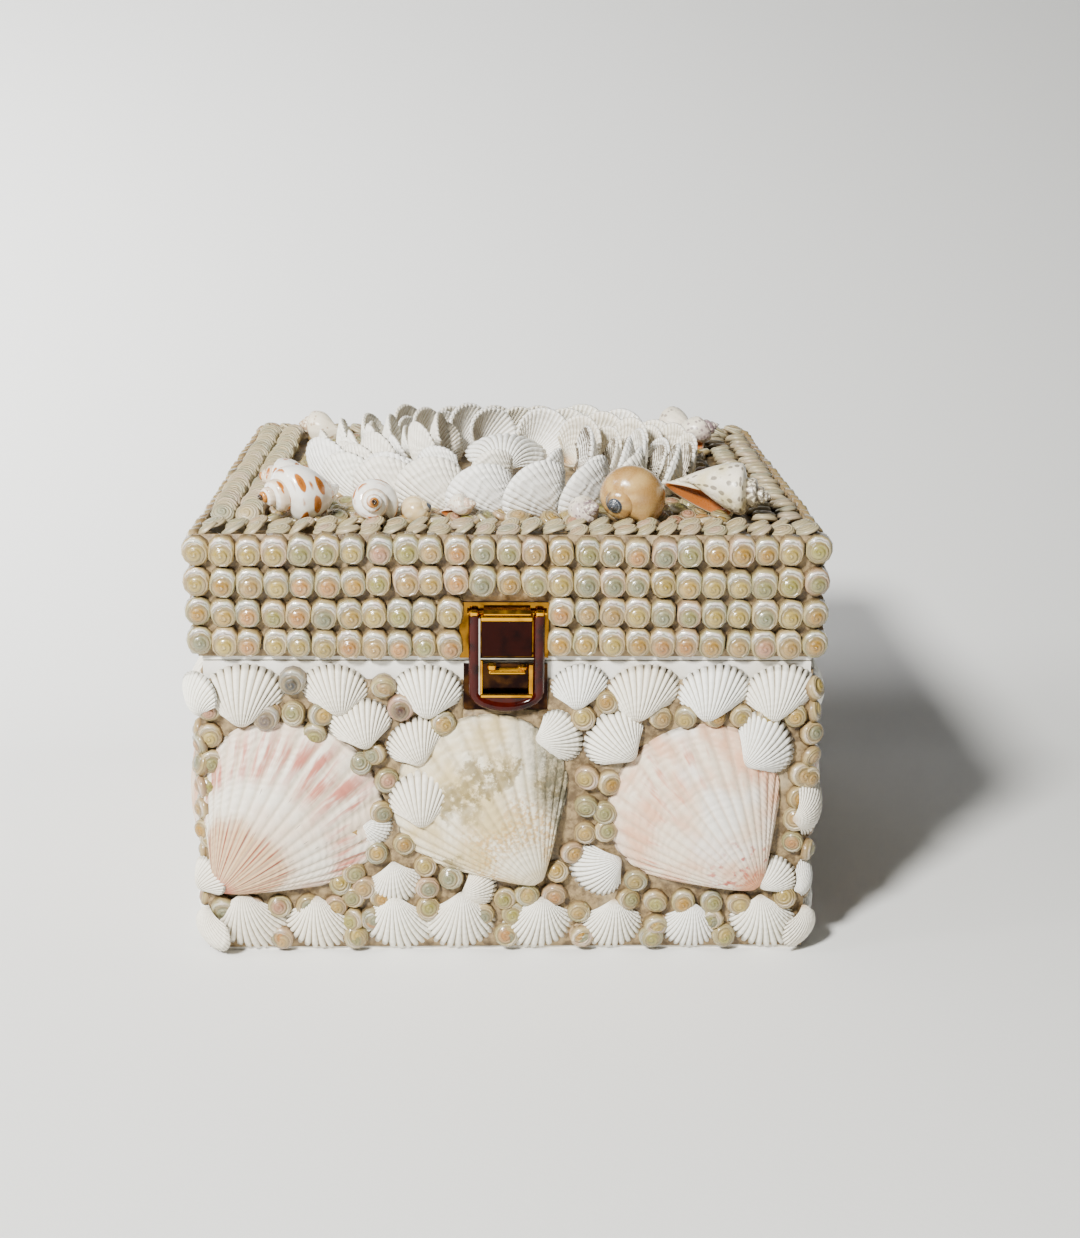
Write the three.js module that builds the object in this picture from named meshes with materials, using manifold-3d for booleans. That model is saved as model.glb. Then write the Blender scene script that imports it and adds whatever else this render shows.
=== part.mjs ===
// Shell-covered keepsake box: a hollow board box with a hinged lid, faced with scallops, cockles and rows of
// button shells, a rosette of cockles and sea snails on the lid, two butt hinges behind and a gilt clasp in front.
// Millimetres, +Z up, origin at the centre of the underside, front of the box towards -Y.
import * as THREE from "three";
import { mergeVertices } from "three/addons/utils/BufferGeometryUtils.js";
import Module from "manifold-3d";

const wasm = await Module();
wasm.setup();

// ---- driving dimensions ----
const BOX = { side: 200, wall: 3, bodyHeight: 103, seam: 0.6, lidHeight: 39.4 };
const HALF = BOX.side / 2;
const LID_BOTTOM = BOX.bodyHeight + BOX.seam;
const LID_TOP = LID_BOTTOM + BOX.lidHeight;
const GAP = 0.3; // air between neighbouring pieces
const GLUE = 0.9; // coat of glue that beds the small shells
const SINK = 0.3; // how deep they sit in it
const FOOT_CLEARANCE = 1; // facing stops this far above the table

// Valves: ratio of length to width, half-angle of the straight sides at the umbo, share of the rim that carries
// points, how fast the valve curls, and the growth rings that are modelled.
const COCKLE = { ratio: 0.78, spread: 74, trim: 0.8, growth: 0.95, columns: 4, rings: [1, 0.55] };
const SCALLOP = { length: 65, width: 61, spread: 48, trim: 1, growth: 0.4, columns: 9, rings: [1, 0.7, 0.36] };
const PETAL = { ratio: 1, spread: 66, trim: 0.78, growth: 0.8, columns: 4, rings: [1, 0.52], wall: 1.6 };
const CENTRE = { width: 31, length: 26.5, spread: 74, trim: 0.86, growth: 1, columns: 7, rings: [1, 0.64, 0.34] };
const BUTTON = { radius: 4.4, height: 4.6 }; // a button shell, spire outwards
const ROWS = { columns: 25, count: 4, pitch: 10.3, relief: 4.4, spire: 0.42 };
const BORDER = { rows: 2, width: 9.7, columns: 22 };

// ---- colours of the sub-parts ----
const finish = (color, roughness, metalness = 0) => new THREE.MeshStandardMaterial({ color, roughness, metalness });
const FINISH = {
  board: finish("#ece8de", 0.9),
  button: finish("#d9cdb4", 0.3),
  cockle: finish("#f4f2ec", 0.6),
  rose: finish("#ecd6cc", 0.5),
  cream: finish("#e3d8c0", 0.6),
  babylon: finish("#f0e6da", 0.3),
  moon: finish("#cda873", 0.35),
  conch: finish("#e2d2b8", 0.5),
  gilt: finish("#d9a93a", 0.2, 1),
  smoked: finish("#3a120b", 0.12, 1),
};

const root = new THREE.Group();

function add(name, geometry, material, parent = root) {
  const mesh = new THREE.Mesh(geometry, material);
  mesh.name = name;
  parent.add(mesh);
  return mesh;
}

// ---- solids ----
function solid(geometry) {
  const bare = geometry.clone();
  for (const attribute of Object.keys(bare.attributes)) {
    if (attribute !== "position") bare.deleteAttribute(attribute);
  }
  const merged = mergeVertices(bare, 1e-4);
  return new wasm.Manifold(new wasm.Mesh({
    numProp: 3,
    vertProperties: new Float32Array(merged.attributes.position.array),
    triVerts: new Uint32Array(merged.index.array),
  }));
}

function geometryOf(manifold) {
  const mesh = manifold.getMesh();
  const geometry = new THREE.BufferGeometry();
  geometry.setAttribute("position", new THREE.BufferAttribute(new Float32Array(mesh.vertProperties), 3));
  geometry.setIndex([...mesh.triVerts]);
  return geometry;
}

const place = (manifold, matrix) => manifold.transform(matrix.elements);
const shifted = (manifold, x, y, z) => manifold.translate([x, y, z]);
const joined = (manifolds) => manifolds.reduce((whole, piece) => whole.add(piece));

// The largest body of a solid: what a cut leaves loose is dropped.
function largest(manifold) {
  return manifold.decompose().sort((a, b) => b.volume() - a.volume())[0];
}

// A box between two corners.
function block(low, high) {
  const size = high.map((value, axis) => value - low[axis]);
  const box = solid(new THREE.BoxGeometry(...size));
  return shifted(box, ...high.map((value, axis) => (value + low[axis]) / 2));
}

// A round bar along X, from x0 to x1.
function barX(radius, x0, x1, y, z, sides = 8) {
  const bar = new THREE.CylinderGeometry(radius, radius, x1 - x0, sides).rotateZ(Math.PI / 2);
  return shifted(solid(bar), (x0 + x1) / 2, y, z);
}

const radians = THREE.MathUtils.degToRad;

// A frame from an origin and the directions of its X and Z axes.
function frameAt(origin, along, up) {
  const z = up.clone().normalize();
  const y = new THREE.Vector3().crossVectors(z, along).normalize();
  const x = new THREE.Vector3().crossVectors(y, z);
  return new THREE.Matrix4().makeBasis(x, y, z).setPosition(origin);
}

// ---- bivalve shells ----
// Rim of a valve in its plane, as points round an ellipse to which straight sides run from the umbo, opening to
// the spread angle. The trim is the share of that arc that carries points: the rest is cut across.
function rimPoints({ length, width, spread, trim, columns }) {
  const half = width / 2;
  const side = half / Math.tan(radians(spread)); // from the umbo to where the sides meet the ellipse
  const centre = (length + side ** 2 / length) / 2;
  const reach = length - centre;
  const open = trim * Math.acos(-reach / centre);
  return Array.from({ length: columns }, (_, i) => {
    const angle = open * ((2 * i) / (columns - 1) - 1);
    return [centre + reach * Math.cos(angle), half * Math.sin(angle)];
  });
}

// A valve grows by scaling about its umbo while it turns about the hinge line, so each growth ring is a smaller
// copy of the rim, turned up by growth * ln(1 / scale). The umbo is the origin, +X runs to the middle of the rim,
// +Z is the domed side, and the rim lies in z = 0.
function valveRings(shape) {
  const rings = shape.rings.map((scale) => {
    const turn = shape.growth * Math.log(1 / scale);
    return rimPoints(shape).map(([x, y]) => [scale * x * Math.cos(turn), scale * y, scale * x * Math.sin(turn)]);
  });
  if (!shape.peak) return rings;
  const turn = shape.growth * Math.log(1 / shape.peak);
  const reach = shape.peak * shape.length * 0.9;
  return [rings[0], [[reach * Math.cos(turn), 0, reach * Math.sin(turn)]]];
}

// Triangles of the domed face from rings of vertex numbers, closed at the umbo.
// A last ring of one point is the peak of a dome cut down to a pyramid.
function domeFaces(rings, umbo) {
  const faces = [];
  if (rings.length === 2 && rings[1].length === 1) {
    const base = [umbo, ...rings[0]];
    return base.map((a, i) => [a, base[(i + 1) % base.length], rings[1][0]]);
  }
  for (let r = 0; r + 1 < rings.length; r++) {
    const [outer, inner] = [rings[r], rings[r + 1]];
    const last = outer.length - 1;
    faces.push([umbo, outer[0], inner[0]], [umbo, inner[last], outer[last]]);
    for (let i = 0; i < last; i++) {
      faces.push([outer[i], outer[i + 1], inner[i + 1]], [outer[i], inner[i + 1], inner[i]]);
    }
  }
  const top = rings[rings.length - 1];
  for (let i = 0; i + 1 < top.length; i++) faces.push([umbo, top[i], top[i + 1]]);
  return faces;
}

function meshOf(points, faces) {
  const geometry = new THREE.BufferGeometry();
  geometry.setAttribute("position", new THREE.Float32BufferAttribute(points.flat(), 3));
  geometry.setIndex(faces.flat());
  return solid(geometry);
}

// A valve glued face down: domed above, flat below.
function gluedValve(shape) {
  const points = [[0, 0, 0]];
  const rings = valveRings(shape).map((ring) => ring.map((point) => points.push(point) - 1));
  const faces = domeFaces(rings, 0);
  const rim = rings[0];
  for (let i = 0; i + 1 < rim.length; i++) faces.push([0, rim[i + 1], rim[i]]);
  return meshOf(points, faces);
}

// An open valve with a wall: the inner face is the outer one, shrunk towards a point inside.
function openValve(shape, wall) {
  const centre = 0.4 * shape.length;
  const shrink = 1 - wall / (shape.length - centre);
  const inside = ([x, y, z]) => [centre + (x - centre) * shrink, y * shrink, z * shrink];
  const points = [[0, 0, 0]];
  const shapes = valveRings(shape);
  const outer = shapes.map((ring) => ring.map((point) => points.push(point) - 1));
  const innerUmbo = points.push(inside([0, 0, 0])) - 1;
  const inner = shapes.map((ring) => ring.map((point) => points.push(inside(point)) - 1));
  const faces = domeFaces(outer, 0);
  for (const [a, b, c] of domeFaces(inner, innerUmbo)) faces.push([a, c, b]);
  const rimOut = [0, ...outer[0]];
  const rimIn = [innerUmbo, ...inner[0]];
  rimOut.forEach((a, i) => {
    const j = (i + 1) % rimOut.length;
    faces.push([a, rimIn[i], rimIn[j]], [a, rimIn[j], rimOut[j]]);
  });
  return meshOf(points, faces);
}

// A cockle, or for the plain faces one with a single peak.
const cockle = (width, peak) => gluedValve({ ...COCKLE, length: width * COCKLE.ratio, width, peak });

const scallop = () => gluedValve(SCALLOP);

// The space kept clear for a scallop, straight out from the face.
function pocket(margin) {
  const [rim] = valveRings({
    ...SCALLOP, length: SCALLOP.length + 2 * margin, width: SCALLOP.width + 2 * margin, growth: 0, rings: [1],
  });
  const outline = new THREE.Shape([[0, 0, 0], ...rim].map(([x, y]) => new THREE.Vector2(x, y)));
  return solid(new THREE.ExtrudeGeometry(outline, { depth: 30, bevelEnabled: false }));
}

// A button shell glued down: a low cone with its spire a little off centre.
function button(radius, height, sides = 4) {
  const cone = new THREE.ConeGeometry(radius, height, sides).rotateX(Math.PI / 2).translate(0, 0, height / 2);
  return solid(cone);
}

// ---- the board box ----
const inner = HALF - BOX.wall;
const bodyCore = block([-HALF, -HALF, 0], [HALF, HALF, BOX.bodyHeight])
  .subtract(block([-inner, -inner, BOX.wall], [inner, inner, BOX.bodyHeight + 1]));
const lidCore = block([-HALF, -HALF, LID_BOTTOM], [HALF, HALF, LID_TOP])
  .subtract(block([-inner, -inner, LID_BOTTOM - 1], [inner, inner, LID_TOP - BOX.wall]));
add("box_board", geometryOf(bodyCore), FINISH.board);
add("lid_board", geometryOf(lidCore), FINISH.board);

// ---- the four faces of the body ----
// Each face is laid out in its own plane: u to the right, v up from the table, both in millimetres, seen from
// outside. A valve is [u, v of its middle, width, direction from umbo to rim in degrees].
const FACES = [
  { name: "front", turn: 0 },
  { name: "right", turn: 90 },
  { name: "back", turn: 180 },
  { name: "left", turn: 270 },
];

const FRONT_SCALLOPS = [
  { name: "left", umbo: [-97.5, 22.7], direction: 50, finish: FINISH.rose },
  { name: "middle", umbo: [11, 25], direction: 122, finish: FINISH.cream },
  { name: "right", umbo: [85.4, 23.2], direction: 127, finish: FINISH.rose },
];
const PLAIN_SCALLOPS = [
  { name: "left", umbo: [-66, 21.5], direction: 88, finish: FINISH.rose },
  { name: "middle", umbo: [0, 21.5], direction: 90, finish: FINISH.cream },
  { name: "right", umbo: [66, 21.5], direction: 92, finish: FINISH.rose },
];

const FRONT_COCKLES = [
  // under the lid, rims up
  [-87.6, 92.8, 24.7, 90], [-55.8, 94.6, 20, 90], [-26.3, 93.8, 21.5, 88], [22.6, 95.4, 17.5, 92],
  [43, 93.6, 22.5, 90], [66.2, 93.8, 22, 90], [88.3, 94, 21.5, 90],
  // over the edges of the scallops
  [-48.7, 82.6, 19.5, 103], [-32, 75.7, 18, 115], [-29.5, 57, 22, 97], [17.1, 78.8, 17, 15], [35.1, 77.1, 20.5, 135],
  [86.5, 74.6, 21, 40], [91, 28.5, 15, 45], [30.6, 28.8, 19, 215], [-37.2, 24.3, 18.5, -80], [-8.9, 23.1, 14, 8],
  [-93, 27.8, 13, -45], [-44.3, 44.2, 12.5, -35],
  // along the foot, rims down
  [-89, 9.6, 23.6, -90], [-64.6, 9.4, 22.3, -90], [-38.6, 9.6, 22.7, -90], [-15.5, 9.6, 22.6, -90],
  [11.9, 9.4, 22.3, -90], [36.4, 9, 20.5, -90], [62.8, 8.6, 19, -90], [86.4, 9.4, 22.4, -90],
];
// Chains of button shells, as corner points.
const FRONT_CHAINS = [
  [[-79, 85.4], [-62, 85.2]], [[-98, 87], [-99, 42]], [[-44, 71.5], [-40.5, 62], [-42.6, 51]],
  [[-51.5, 43], [-44, 36], [-52, 29], [-43, 20.3]], [[-96, 16.5], [-58, 17]], [[-27, 23.5], [-18.5, 14], [2, 14]],
  [[26.9, 63], [26.3, 43.3], [17, 29], [16, 21]], [[25, 84], [33, 89.4]], [[50.1, 84.4], [95.2, 85.1]],
  [[41, 18.9], [79, 17.5]], [[98, 64], [96.6, 40]],
  ...[[-70.6, 96], [-41, 95], [-35.2, 87], [-21.6, 82.4], [6.7, 20.9], [-46, 12.4], [50.6, 9.7], [24.5, 14.5]].map((at) => [at, at]),
];

// The plainer hidden faces: a row of cockles above and below and a chain round the scallops.
function plainCockles() {
  const row = (count, v, direction) => Array.from({ length: count }, (_, i) => {
    const pitch = (BOX.side - 4) / count;
    return [(i - (count - 1) / 2) * pitch, v, pitch * 0.94, direction];
  });
  return [...row(7, 92, 90), ...row(8, 10, -90)];
}
const PLAIN_CHAINS = [
  [[-95, 78], [-95, 26]], [[-33, 79], [-33, 26]], [[33, 79], [33, 26]], [[95, 78], [95, 26]],
];

function chainPoints(corners, spacing) {
  const points = [];
  for (let i = 0; i + 1 < corners.length; i++) {
    const [a, b] = [new THREE.Vector2(...corners[i]), new THREE.Vector2(...corners[i + 1])];
    const steps = Math.max(1, Math.round(a.distanceTo(b) / spacing));
    for (let k = i ? 1 : 0; k <= steps; k++) points.push(a.clone().lerp(b, k / steps));
  }
  return points;
}

// Places a valve lying on a face, its umbo at (u, v) moved back by a margin, lifted to the given height.
function onFace(valve, [u, v], direction, height, back = 0) {
  const along = new THREE.Vector3(Math.cos(radians(direction)), 0, Math.sin(radians(direction)));
  const umbo = new THREE.Vector3(u, -height, v).addScaledVector(along, -back);
  return place(valve, frameAt(umbo, along, new THREE.Vector3(0, -1, 0)));
}

const CHAIN_SPACING = 9.4;
const MARGIN = 0.6; // round a scallop
const CLASP = {
  x: -0.5, width: 26, top: 120.4, bottom: 87, bar: 4.4, windowLow: 91, windowHigh: 104.6, thickness: 2.6,
};
const claspLeft = CLASP.x - CLASP.width / 2;
const claspRight = CLASP.x + CLASP.width / 2;

function dressFace({ name, turn }) {
  const front = name === "front";
  const scallops = front ? FRONT_SCALLOPS : PLAIN_SCALLOPS;
  const cockles = front ? FRONT_COCKLES : plainCockles();
  const chains = front ? FRONT_CHAINS : PLAIN_CHAINS;
  // Long faces lap the ends of the short ones, so that the corners close.
  const reach = turn % 180 === 0 ? HALF + 4 : HALF - GAP;
  const top = name === "back" ? BOX.bodyHeight - 6 : BOX.bodyHeight - 1;
  const seat = HALF + GAP; // face of the board, plus air
  const bedFace = seat + GLUE;
  let mosaic = block([-reach, -bedFace, FOOT_CLEARANCE], [reach, -seat, top]);
  for (const [u, v, width, direction] of cockles) {
    const valve = cockle(width, front ? 0 : 0.5);
    mosaic = mosaic.add(onFace(valve, [u, v], direction, bedFace - SINK, (width * COCKLE.ratio) / 2));
  }
  for (const corners of chains) {
    for (const point of chainPoints(corners, CHAIN_SPACING)) {
      mosaic = mosaic.add(place(button(BUTTON.radius, BUTTON.height),
        frameAt(new THREE.Vector3(point.x, SINK - bedFace, point.y), new THREE.Vector3(1, 0, 0),
          new THREE.Vector3(0, -1, 0))));
    }
  }
  const group = new THREE.Group();
  group.rotation.z = radians(turn);
  root.add(group);
  for (const { name: seat_, umbo, direction, finish: look } of scallops) {
    add(`${name}_${seat_}_scallop`, geometryOf(onFace(scallop(), umbo, direction, bedFace + GAP)), look, group);
    mosaic = mosaic.subtract(onFace(pocket(MARGIN), umbo, direction, bedFace, MARGIN));
  }
  // Nothing hangs below the foot or rises past the rim.
  mosaic = mosaic.intersect(block([-reach - 1, -HALF - 20, FOOT_CLEARANCE], [reach + 1, -seat, top]));
  if (front) {
    mosaic = mosaic.subtract(block([claspLeft - 2, -HALF - 20, CLASP.bottom - 1], [claspRight + 2, -HALF, top + 1]));
  }
  if (name === "back") {
    for (const x of HINGE_PLACES) {
      const half = HINGE.length / 2 + 1;
      // The back's own u runs against X.
      mosaic = mosaic.subtract(block([-x - half, -HALF - 20, HINGE.z - HINGE.leaf - 1], [-x + half, -HALF, top + 1]));
    }
  }
  add(`${name}_cockles_and_buttons`, geometryOf(largest(mosaic)), FINISH.cockle, group);
}

// ---- rows of button shells round the lid ----
// A strip of studs, one for each shell: a grid of low pyramids, each with its spire a little below the middle.
// It lies in u, v with its back in z = 0 and its studs towards +Z.
function studs(columns, rows, pitchU, pitchV, relief, spire) {
  const points = [];
  const faces = [];
  const corner = (i, j) => j * (columns + 1) + i;
  for (let j = 0; j <= rows; j++) {
    for (let i = 0; i <= columns; i++) points.push([i * pitchU, j * pitchV, GLUE]);
  }
  for (let j = 0; j < rows; j++) {
    for (let i = 0; i < columns; i++) {
      const tip = points.push([(i + 0.5) * pitchU, (j + spire) * pitchV, relief]) - 1;
      const ring = [corner(i, j), corner(i + 1, j), corner(i + 1, j + 1), corner(i, j + 1)];
      ring.forEach((a, k) => faces.push([a, ring[(k + 1) % 4], tip]));
    }
  }
  const [wide, high] = [columns * pitchU, rows * pitchV];
  const back = [[0, 0], [wide, 0], [wide, high], [0, high]].map(([u, v]) => points.push([u, v, 0]) - 1);
  faces.push([back[0], back[2], back[1]], [back[0], back[3], back[2]]);
  const edges = [
    Array.from({ length: columns + 1 }, (_, i) => corner(i, 0)),
    Array.from({ length: rows + 1 }, (_, j) => corner(columns, j)),
    Array.from({ length: columns + 1 }, (_, i) => corner(columns - i, rows)),
    Array.from({ length: rows + 1 }, (_, j) => corner(0, rows - j)),
  ];
  edges.forEach((edge, k) => {
    const next = back[(k + 1) % 4];
    faces.push([back[k], next, edge[edge.length - 1]]);
    for (let i = 0; i + 1 < edge.length; i++) faces.push([back[k], edge[i + 1], edge[i]]);
  });
  return meshOf(points, faces);
}

const ROW_BOTTOM = LID_BOTTOM + 1.4;

function dressLidSide({ name, turn }) {
  const long = turn % 180 === 0;
  const reach = long ? HALF + 4.4 : HALF - GAP;
  const columns = name === "front" ? ROWS.columns : ROWS.columns - 3;
  const rows = name === "back" ? ROWS.count - 1 : ROWS.count; // the hinges take the place of the lowest row
  const bottom = ROW_BOTTOM + (ROWS.count - rows) * ROWS.pitch;
  let strip = studs(columns, rows, (2 * reach) / columns, ROWS.pitch, ROWS.relief, ROWS.spire);
  const upright = frameAt(new THREE.Vector3(-reach, -HALF - GAP, bottom), new THREE.Vector3(1, 0, 0),
    new THREE.Vector3(0, -1, 0));
  strip = place(strip, upright);
  if (name === "front") {
    strip = strip.subtract(block([claspLeft - 4, -HALF - 20, 0], [claspRight + 1.5, 0, CLASP.top + 3.4]));
  }
  const group = new THREE.Group();
  group.rotation.z = radians(turn);
  root.add(group);
  add(`lid_${name}_button_rows`, geometryOf(strip), FINISH.button, group);

  const borderReach = long ? HALF - GAP : HALF - GAP - BORDER.rows * BORDER.width - GAP;
  const borderColumns = long ? BORDER.columns : Math.round(BORDER.columns * borderReach / HALF);
  const border = place(
    studs(borderColumns, BORDER.rows, (2 * borderReach) / borderColumns, BORDER.width, ROWS.relief, 0.5),
    frameAt(new THREE.Vector3(-borderReach, -HALF + GAP, LID_TOP + GAP), new THREE.Vector3(1, 0, 0),
      new THREE.Vector3(0, 0, 1)));
  add(`lid_top_${name}_border`, geometryOf(border), FINISH.button, group);
}

// ---- sea snails ----
// A snail turned about its axis, +Z towards the apex: [radius, height] steps give the whorls and their sutures.
function snail(profile, scale, sides = 7) {
  const points = profile.map(([r, z]) => new THREE.Vector2(r * scale, z * scale));
  return solid(new THREE.LatheGeometry(points, sides).rotateX(Math.PI / 2));
}
const BABYLON = [[0, -1.1], [0.42, -0.85], [0.86, -0.25], [0.95, 0.25], [0.62, 0.6], [0.66, 0.8], [0.36, 1.08],
  [0.36, 1.22], [0, 1.62]];
const MOON = [[0, -0.9], [0.62, -0.72], [1, -0.1], [0.82, 0.5], [0.4, 0.74], [0.36, 0.86], [0, 1.08]];
const CONCH = [[0, -1.5], [0.3, -1.1], [0.9, 0.1], [0.96, 0.42], [0.6, 0.66], [0.62, 0.84], [0.4, 1.06],
  [0.36, 1.2], [0, 1.6]];

// name, profile, radius, middle, direction of the apex, finish
const SNAILS = [
  ["babylon_shell_lying", BABYLON, 10.2, [-67.5, -74.5, 0], [-0.78, -0.52, -0.12], FINISH.babylon],
  ["babylon_shell_behind", BABYLON, 8.6, [-75.5, -53, 0], [-0.35, 0.9, 0], FINISH.babylon],
  ["babylon_shell_facing", BABYLON, 9, [-45.5, -75.8, 0], [0.06, -0.94, 0.1], FINISH.babylon],
  ["moon_shell", MOON, 10.2, [42, -77, 0], [-0.3, -0.92, -0.02], FINISH.moon],
  ["conch_shell", CONCH, 9.6, [69.5, -73, 0], [0.99, -0.14, -0.06], FINISH.conch],
  ["whelk_shell_front", CONCH, 5.2, [24, -75.5, 0], [0.9, -0.3, 0.2], FINISH.conch],
  ["whelk_shell_small", CONCH, 4.2, [-21, -76, 0], [0.8, -0.5, 0.2], FINISH.babylon],
  ["cowrie_shell", MOON, 5.2, [-31.5, -76.8, 0], [0.7, 0.5, 0.4], FINISH.moon],
  ["conch_shell_rear", CONCH, 9, [72, 68, 0], [-0.5, 0.85, 0], FINISH.conch],
  ["moon_shell_rear", MOON, 8.4, [73, 46, 0], [0.9, 0.2, 0.4], FINISH.conch],
  ["babylon_shell_rear", BABYLON, 9, [-70, 70, 0], [-0.9, 0.4, 0], FINISH.babylon],
];

const FILLER_TOP = LID_TOP + GAP + GLUE;

function placeSnails() {
  for (const [name, profile, radius, [x, y], apex, look] of SNAILS) {
    const direction = new THREE.Vector3(...apex).normalize();
    const sideways = Math.abs(direction.z) > 0.9 ? new THREE.Vector3(1, 0, 0) : new THREE.Vector3(0, 0, 1);
    const turned = place(snail(profile, radius), frameAt(new THREE.Vector3(), sideways, direction));
    const low = turned.boundingBox().min[2];
    add(name, geometryOf(shifted(turned, x, y, FILLER_TOP + GAP - low)), look);
  }
}

// ---- button shells strewn between the border and the rosette ----
function fillField() {
  const outside = HALF - GAP - BORDER.rows * BORDER.width - 2 * GAP;
  const inside = outside - 12;
  const bed = block([-outside, -outside, LID_TOP + GAP], [outside, outside, FILLER_TOP])
    .subtract(block([-inside, -inside, LID_TOP - 1], [inside, inside, FILLER_TOP + 1]));
  const middle = outside - 5.2;
  const places = [];
  for (const corners of [
    [[-8, -middle], [14, -middle]],
    [[middle, -52], [middle, 32]],
    [[50, middle], [-48, middle]],
    [[-middle, 52], [-middle, -34]],
      ]) places.push(...chainPoints(corners, CHAIN_SPACING));
  let field = bed;
  for (const point of places) {
    field = field.add(shifted(button(BUTTON.radius, BUTTON.height), point.x, point.y, FILLER_TOP - SINK));
  }
  add("lid_field_buttons", geometryOf(field), FINISH.button);
}

// ---- the rosette of cockles ----
// Each petal stands on its umbo with its dome outwards, leans out, is rolled in its own plane and turned a
// little so that it laps the next.
const ROSETTE = [
  { name: "rosette_outer_petals", count: 23, base: 59.5, lift: 1.4, width: 21.5, peak: 0, lean: 24, roll: 38, lap: 16 },
  { name: "rosette_middle_petals", count: 16, base: 43, lift: 3.4, width: 21, peak: 0.5, lean: 18, roll: 38, lap: 16 },
  { name: "rosette_inner_petals", count: 9, base: 25.5, lift: 4.4, width: 21, peak: 0.5, lean: 14, roll: 34, lap: 16 },
];
// In front, the petals inside the outer ring are smaller and lean further out, so that the centre shows.
const FRONT_PETALS = { from: 0.55, size: 0.7, lean: 26 };
function petalRing({ name, count, base, lift, width, peak, lean, roll, lap }) {
  const petals = [];
  for (let i = 0; i < count; i++) {
    const around = radians((360 * i) / count - 90);
    const low = peak && Math.sin(around) < -FRONT_PETALS.from;
    const size = low ? width * FRONT_PETALS.size : width;
    const tilt = radians(low ? lean + FRONT_PETALS.lean : lean);
    const valve = openValve({ ...PETAL, length: size * PETAL.ratio, width: size, peak }, PETAL.wall);
    const out = new THREE.Vector3(Math.cos(around), Math.sin(around), 0);
    const up = new THREE.Vector3(0, 0, 1);
    const along = up.clone().multiplyScalar(Math.cos(tilt)).addScaledVector(out, Math.sin(tilt));
    const dome = new THREE.Vector3().crossVectors(new THREE.Vector3().crossVectors(along, out), along);
    dome.applyAxisAngle(along, radians(lap));
    along.applyAxisAngle(dome, radians(roll));
    const foot = out.clone().multiplyScalar(base).setZ(LID_TOP + GAP + lift);
    petals.push(place(valve, frameAt(foot, along, dome)));
  }
  const bead = 2.6; // the bead of glue that the petals stand in
  const sides = Math.round(count / 2) * 2;
  const ring = solid(new THREE.CylinderGeometry(base + bead, base + bead, bead + lift, sides).rotateX(Math.PI / 2))
    .subtract(solid(new THREE.CylinderGeometry(base - bead, base - bead, 99, sides).rotateX(Math.PI / 2)));
  const standing = shifted(ring, 0, 0, LID_TOP + GAP + (bead + lift) / 2);
  const floor = block([-HALF, -HALF, LID_TOP + GAP], [HALF, HALF, LID_TOP + 60]);
  add(name, geometryOf(largest(joined([standing, ...petals]).intersect(floor))), FINISH.cockle);
}

function rosetteCentre() {
  const valve = gluedValve(CENTRE);
  const along = new THREE.Vector3(0.08, 0.93, 0.35).normalize();
  const dome = new THREE.Vector3(0, -0.35, 0.93);
  const umbo = new THREE.Vector3(-1, -10.5, LID_TOP + GAP + 5);
  const laid = place(valve, frameAt(umbo, along, dome));
  const pad = shifted(solid(new THREE.CylinderGeometry(8, 10, 9, 8).rotateX(Math.PI / 2)), 0, 0, LID_TOP + GAP + 4.5);
  const floor = block([-HALF, -HALF, LID_TOP + GAP], [HALF, HALF, LID_TOP + 60]);
  add("rosette_centre_cockle", geometryOf(laid.add(pad).intersect(floor)), FINISH.cockle);
}

// ---- butt hinges on the back ----
const HINGE = { length: 24, leaf: 9, thickness: 1, barrel: 2, bore: 1.15, pin: 0.8, y: HALF + 2.9, z: LID_BOTTOM - 0.3 };
const HINGE_PLACES = [-58, 58];

function hinge(side, x) {
  const { length, leaf, thickness, barrel, bore, pin, y, z } = HINGE;
  const third = length / 3;
  const start = x - length / 2;
  const knuckle = (from, to) => barX(barrel, from, to, y, z).subtract(barX(bore, from - 1, to + 1, y, z));
  const leafBlock = (low, high) => block([start, HALF + GAP, low], [start + length, HALF + GAP + thickness, high]);
  const clearMiddle = block([start + third - GAP, HALF, z - barrel - 0.6], [start + 2 * third + GAP, y + 3, z + barrel + 0.6]);
  const clearEnds = block([start - 1, HALF, z - barrel - 0.6], [start + third + GAP, y + 3, z + barrel + 0.6])
    .add(block([start + 2 * third - GAP, HALF, z - barrel - 0.6], [start + length + 1, y + 3, z + barrel + 0.6]));
  const hole = barX(bore, start - 1, start + length + 1, y, z);
  const bodyLeaf = leafBlock(z - leaf, z + 1).subtract(clearMiddle)
    .add(knuckle(start, start + third - GAP)).add(knuckle(start + 2 * third + GAP, start + length)).subtract(hole);
  const lidLeaf = leafBlock(z - 1, z + leaf).subtract(clearEnds)
    .add(knuckle(start + third + GAP, start + 2 * third - GAP)).subtract(hole);
  add(`hinge_${side}_body_leaf`, geometryOf(bodyLeaf), FINISH.gilt);
  add(`hinge_${side}_lid_leaf`, geometryOf(lidLeaf), FINISH.gilt);
  add(`hinge_${side}_pin`, geometryOf(barX(pin, start, start + length, y, z, 8)), FINISH.gilt);
}

// ---- clasp ----
const CLASP_HINGE = { y: -HALF - 3, z: CLASP.top, barrel: 1.7, bore: 1.05, pin: 0.7 };

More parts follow.
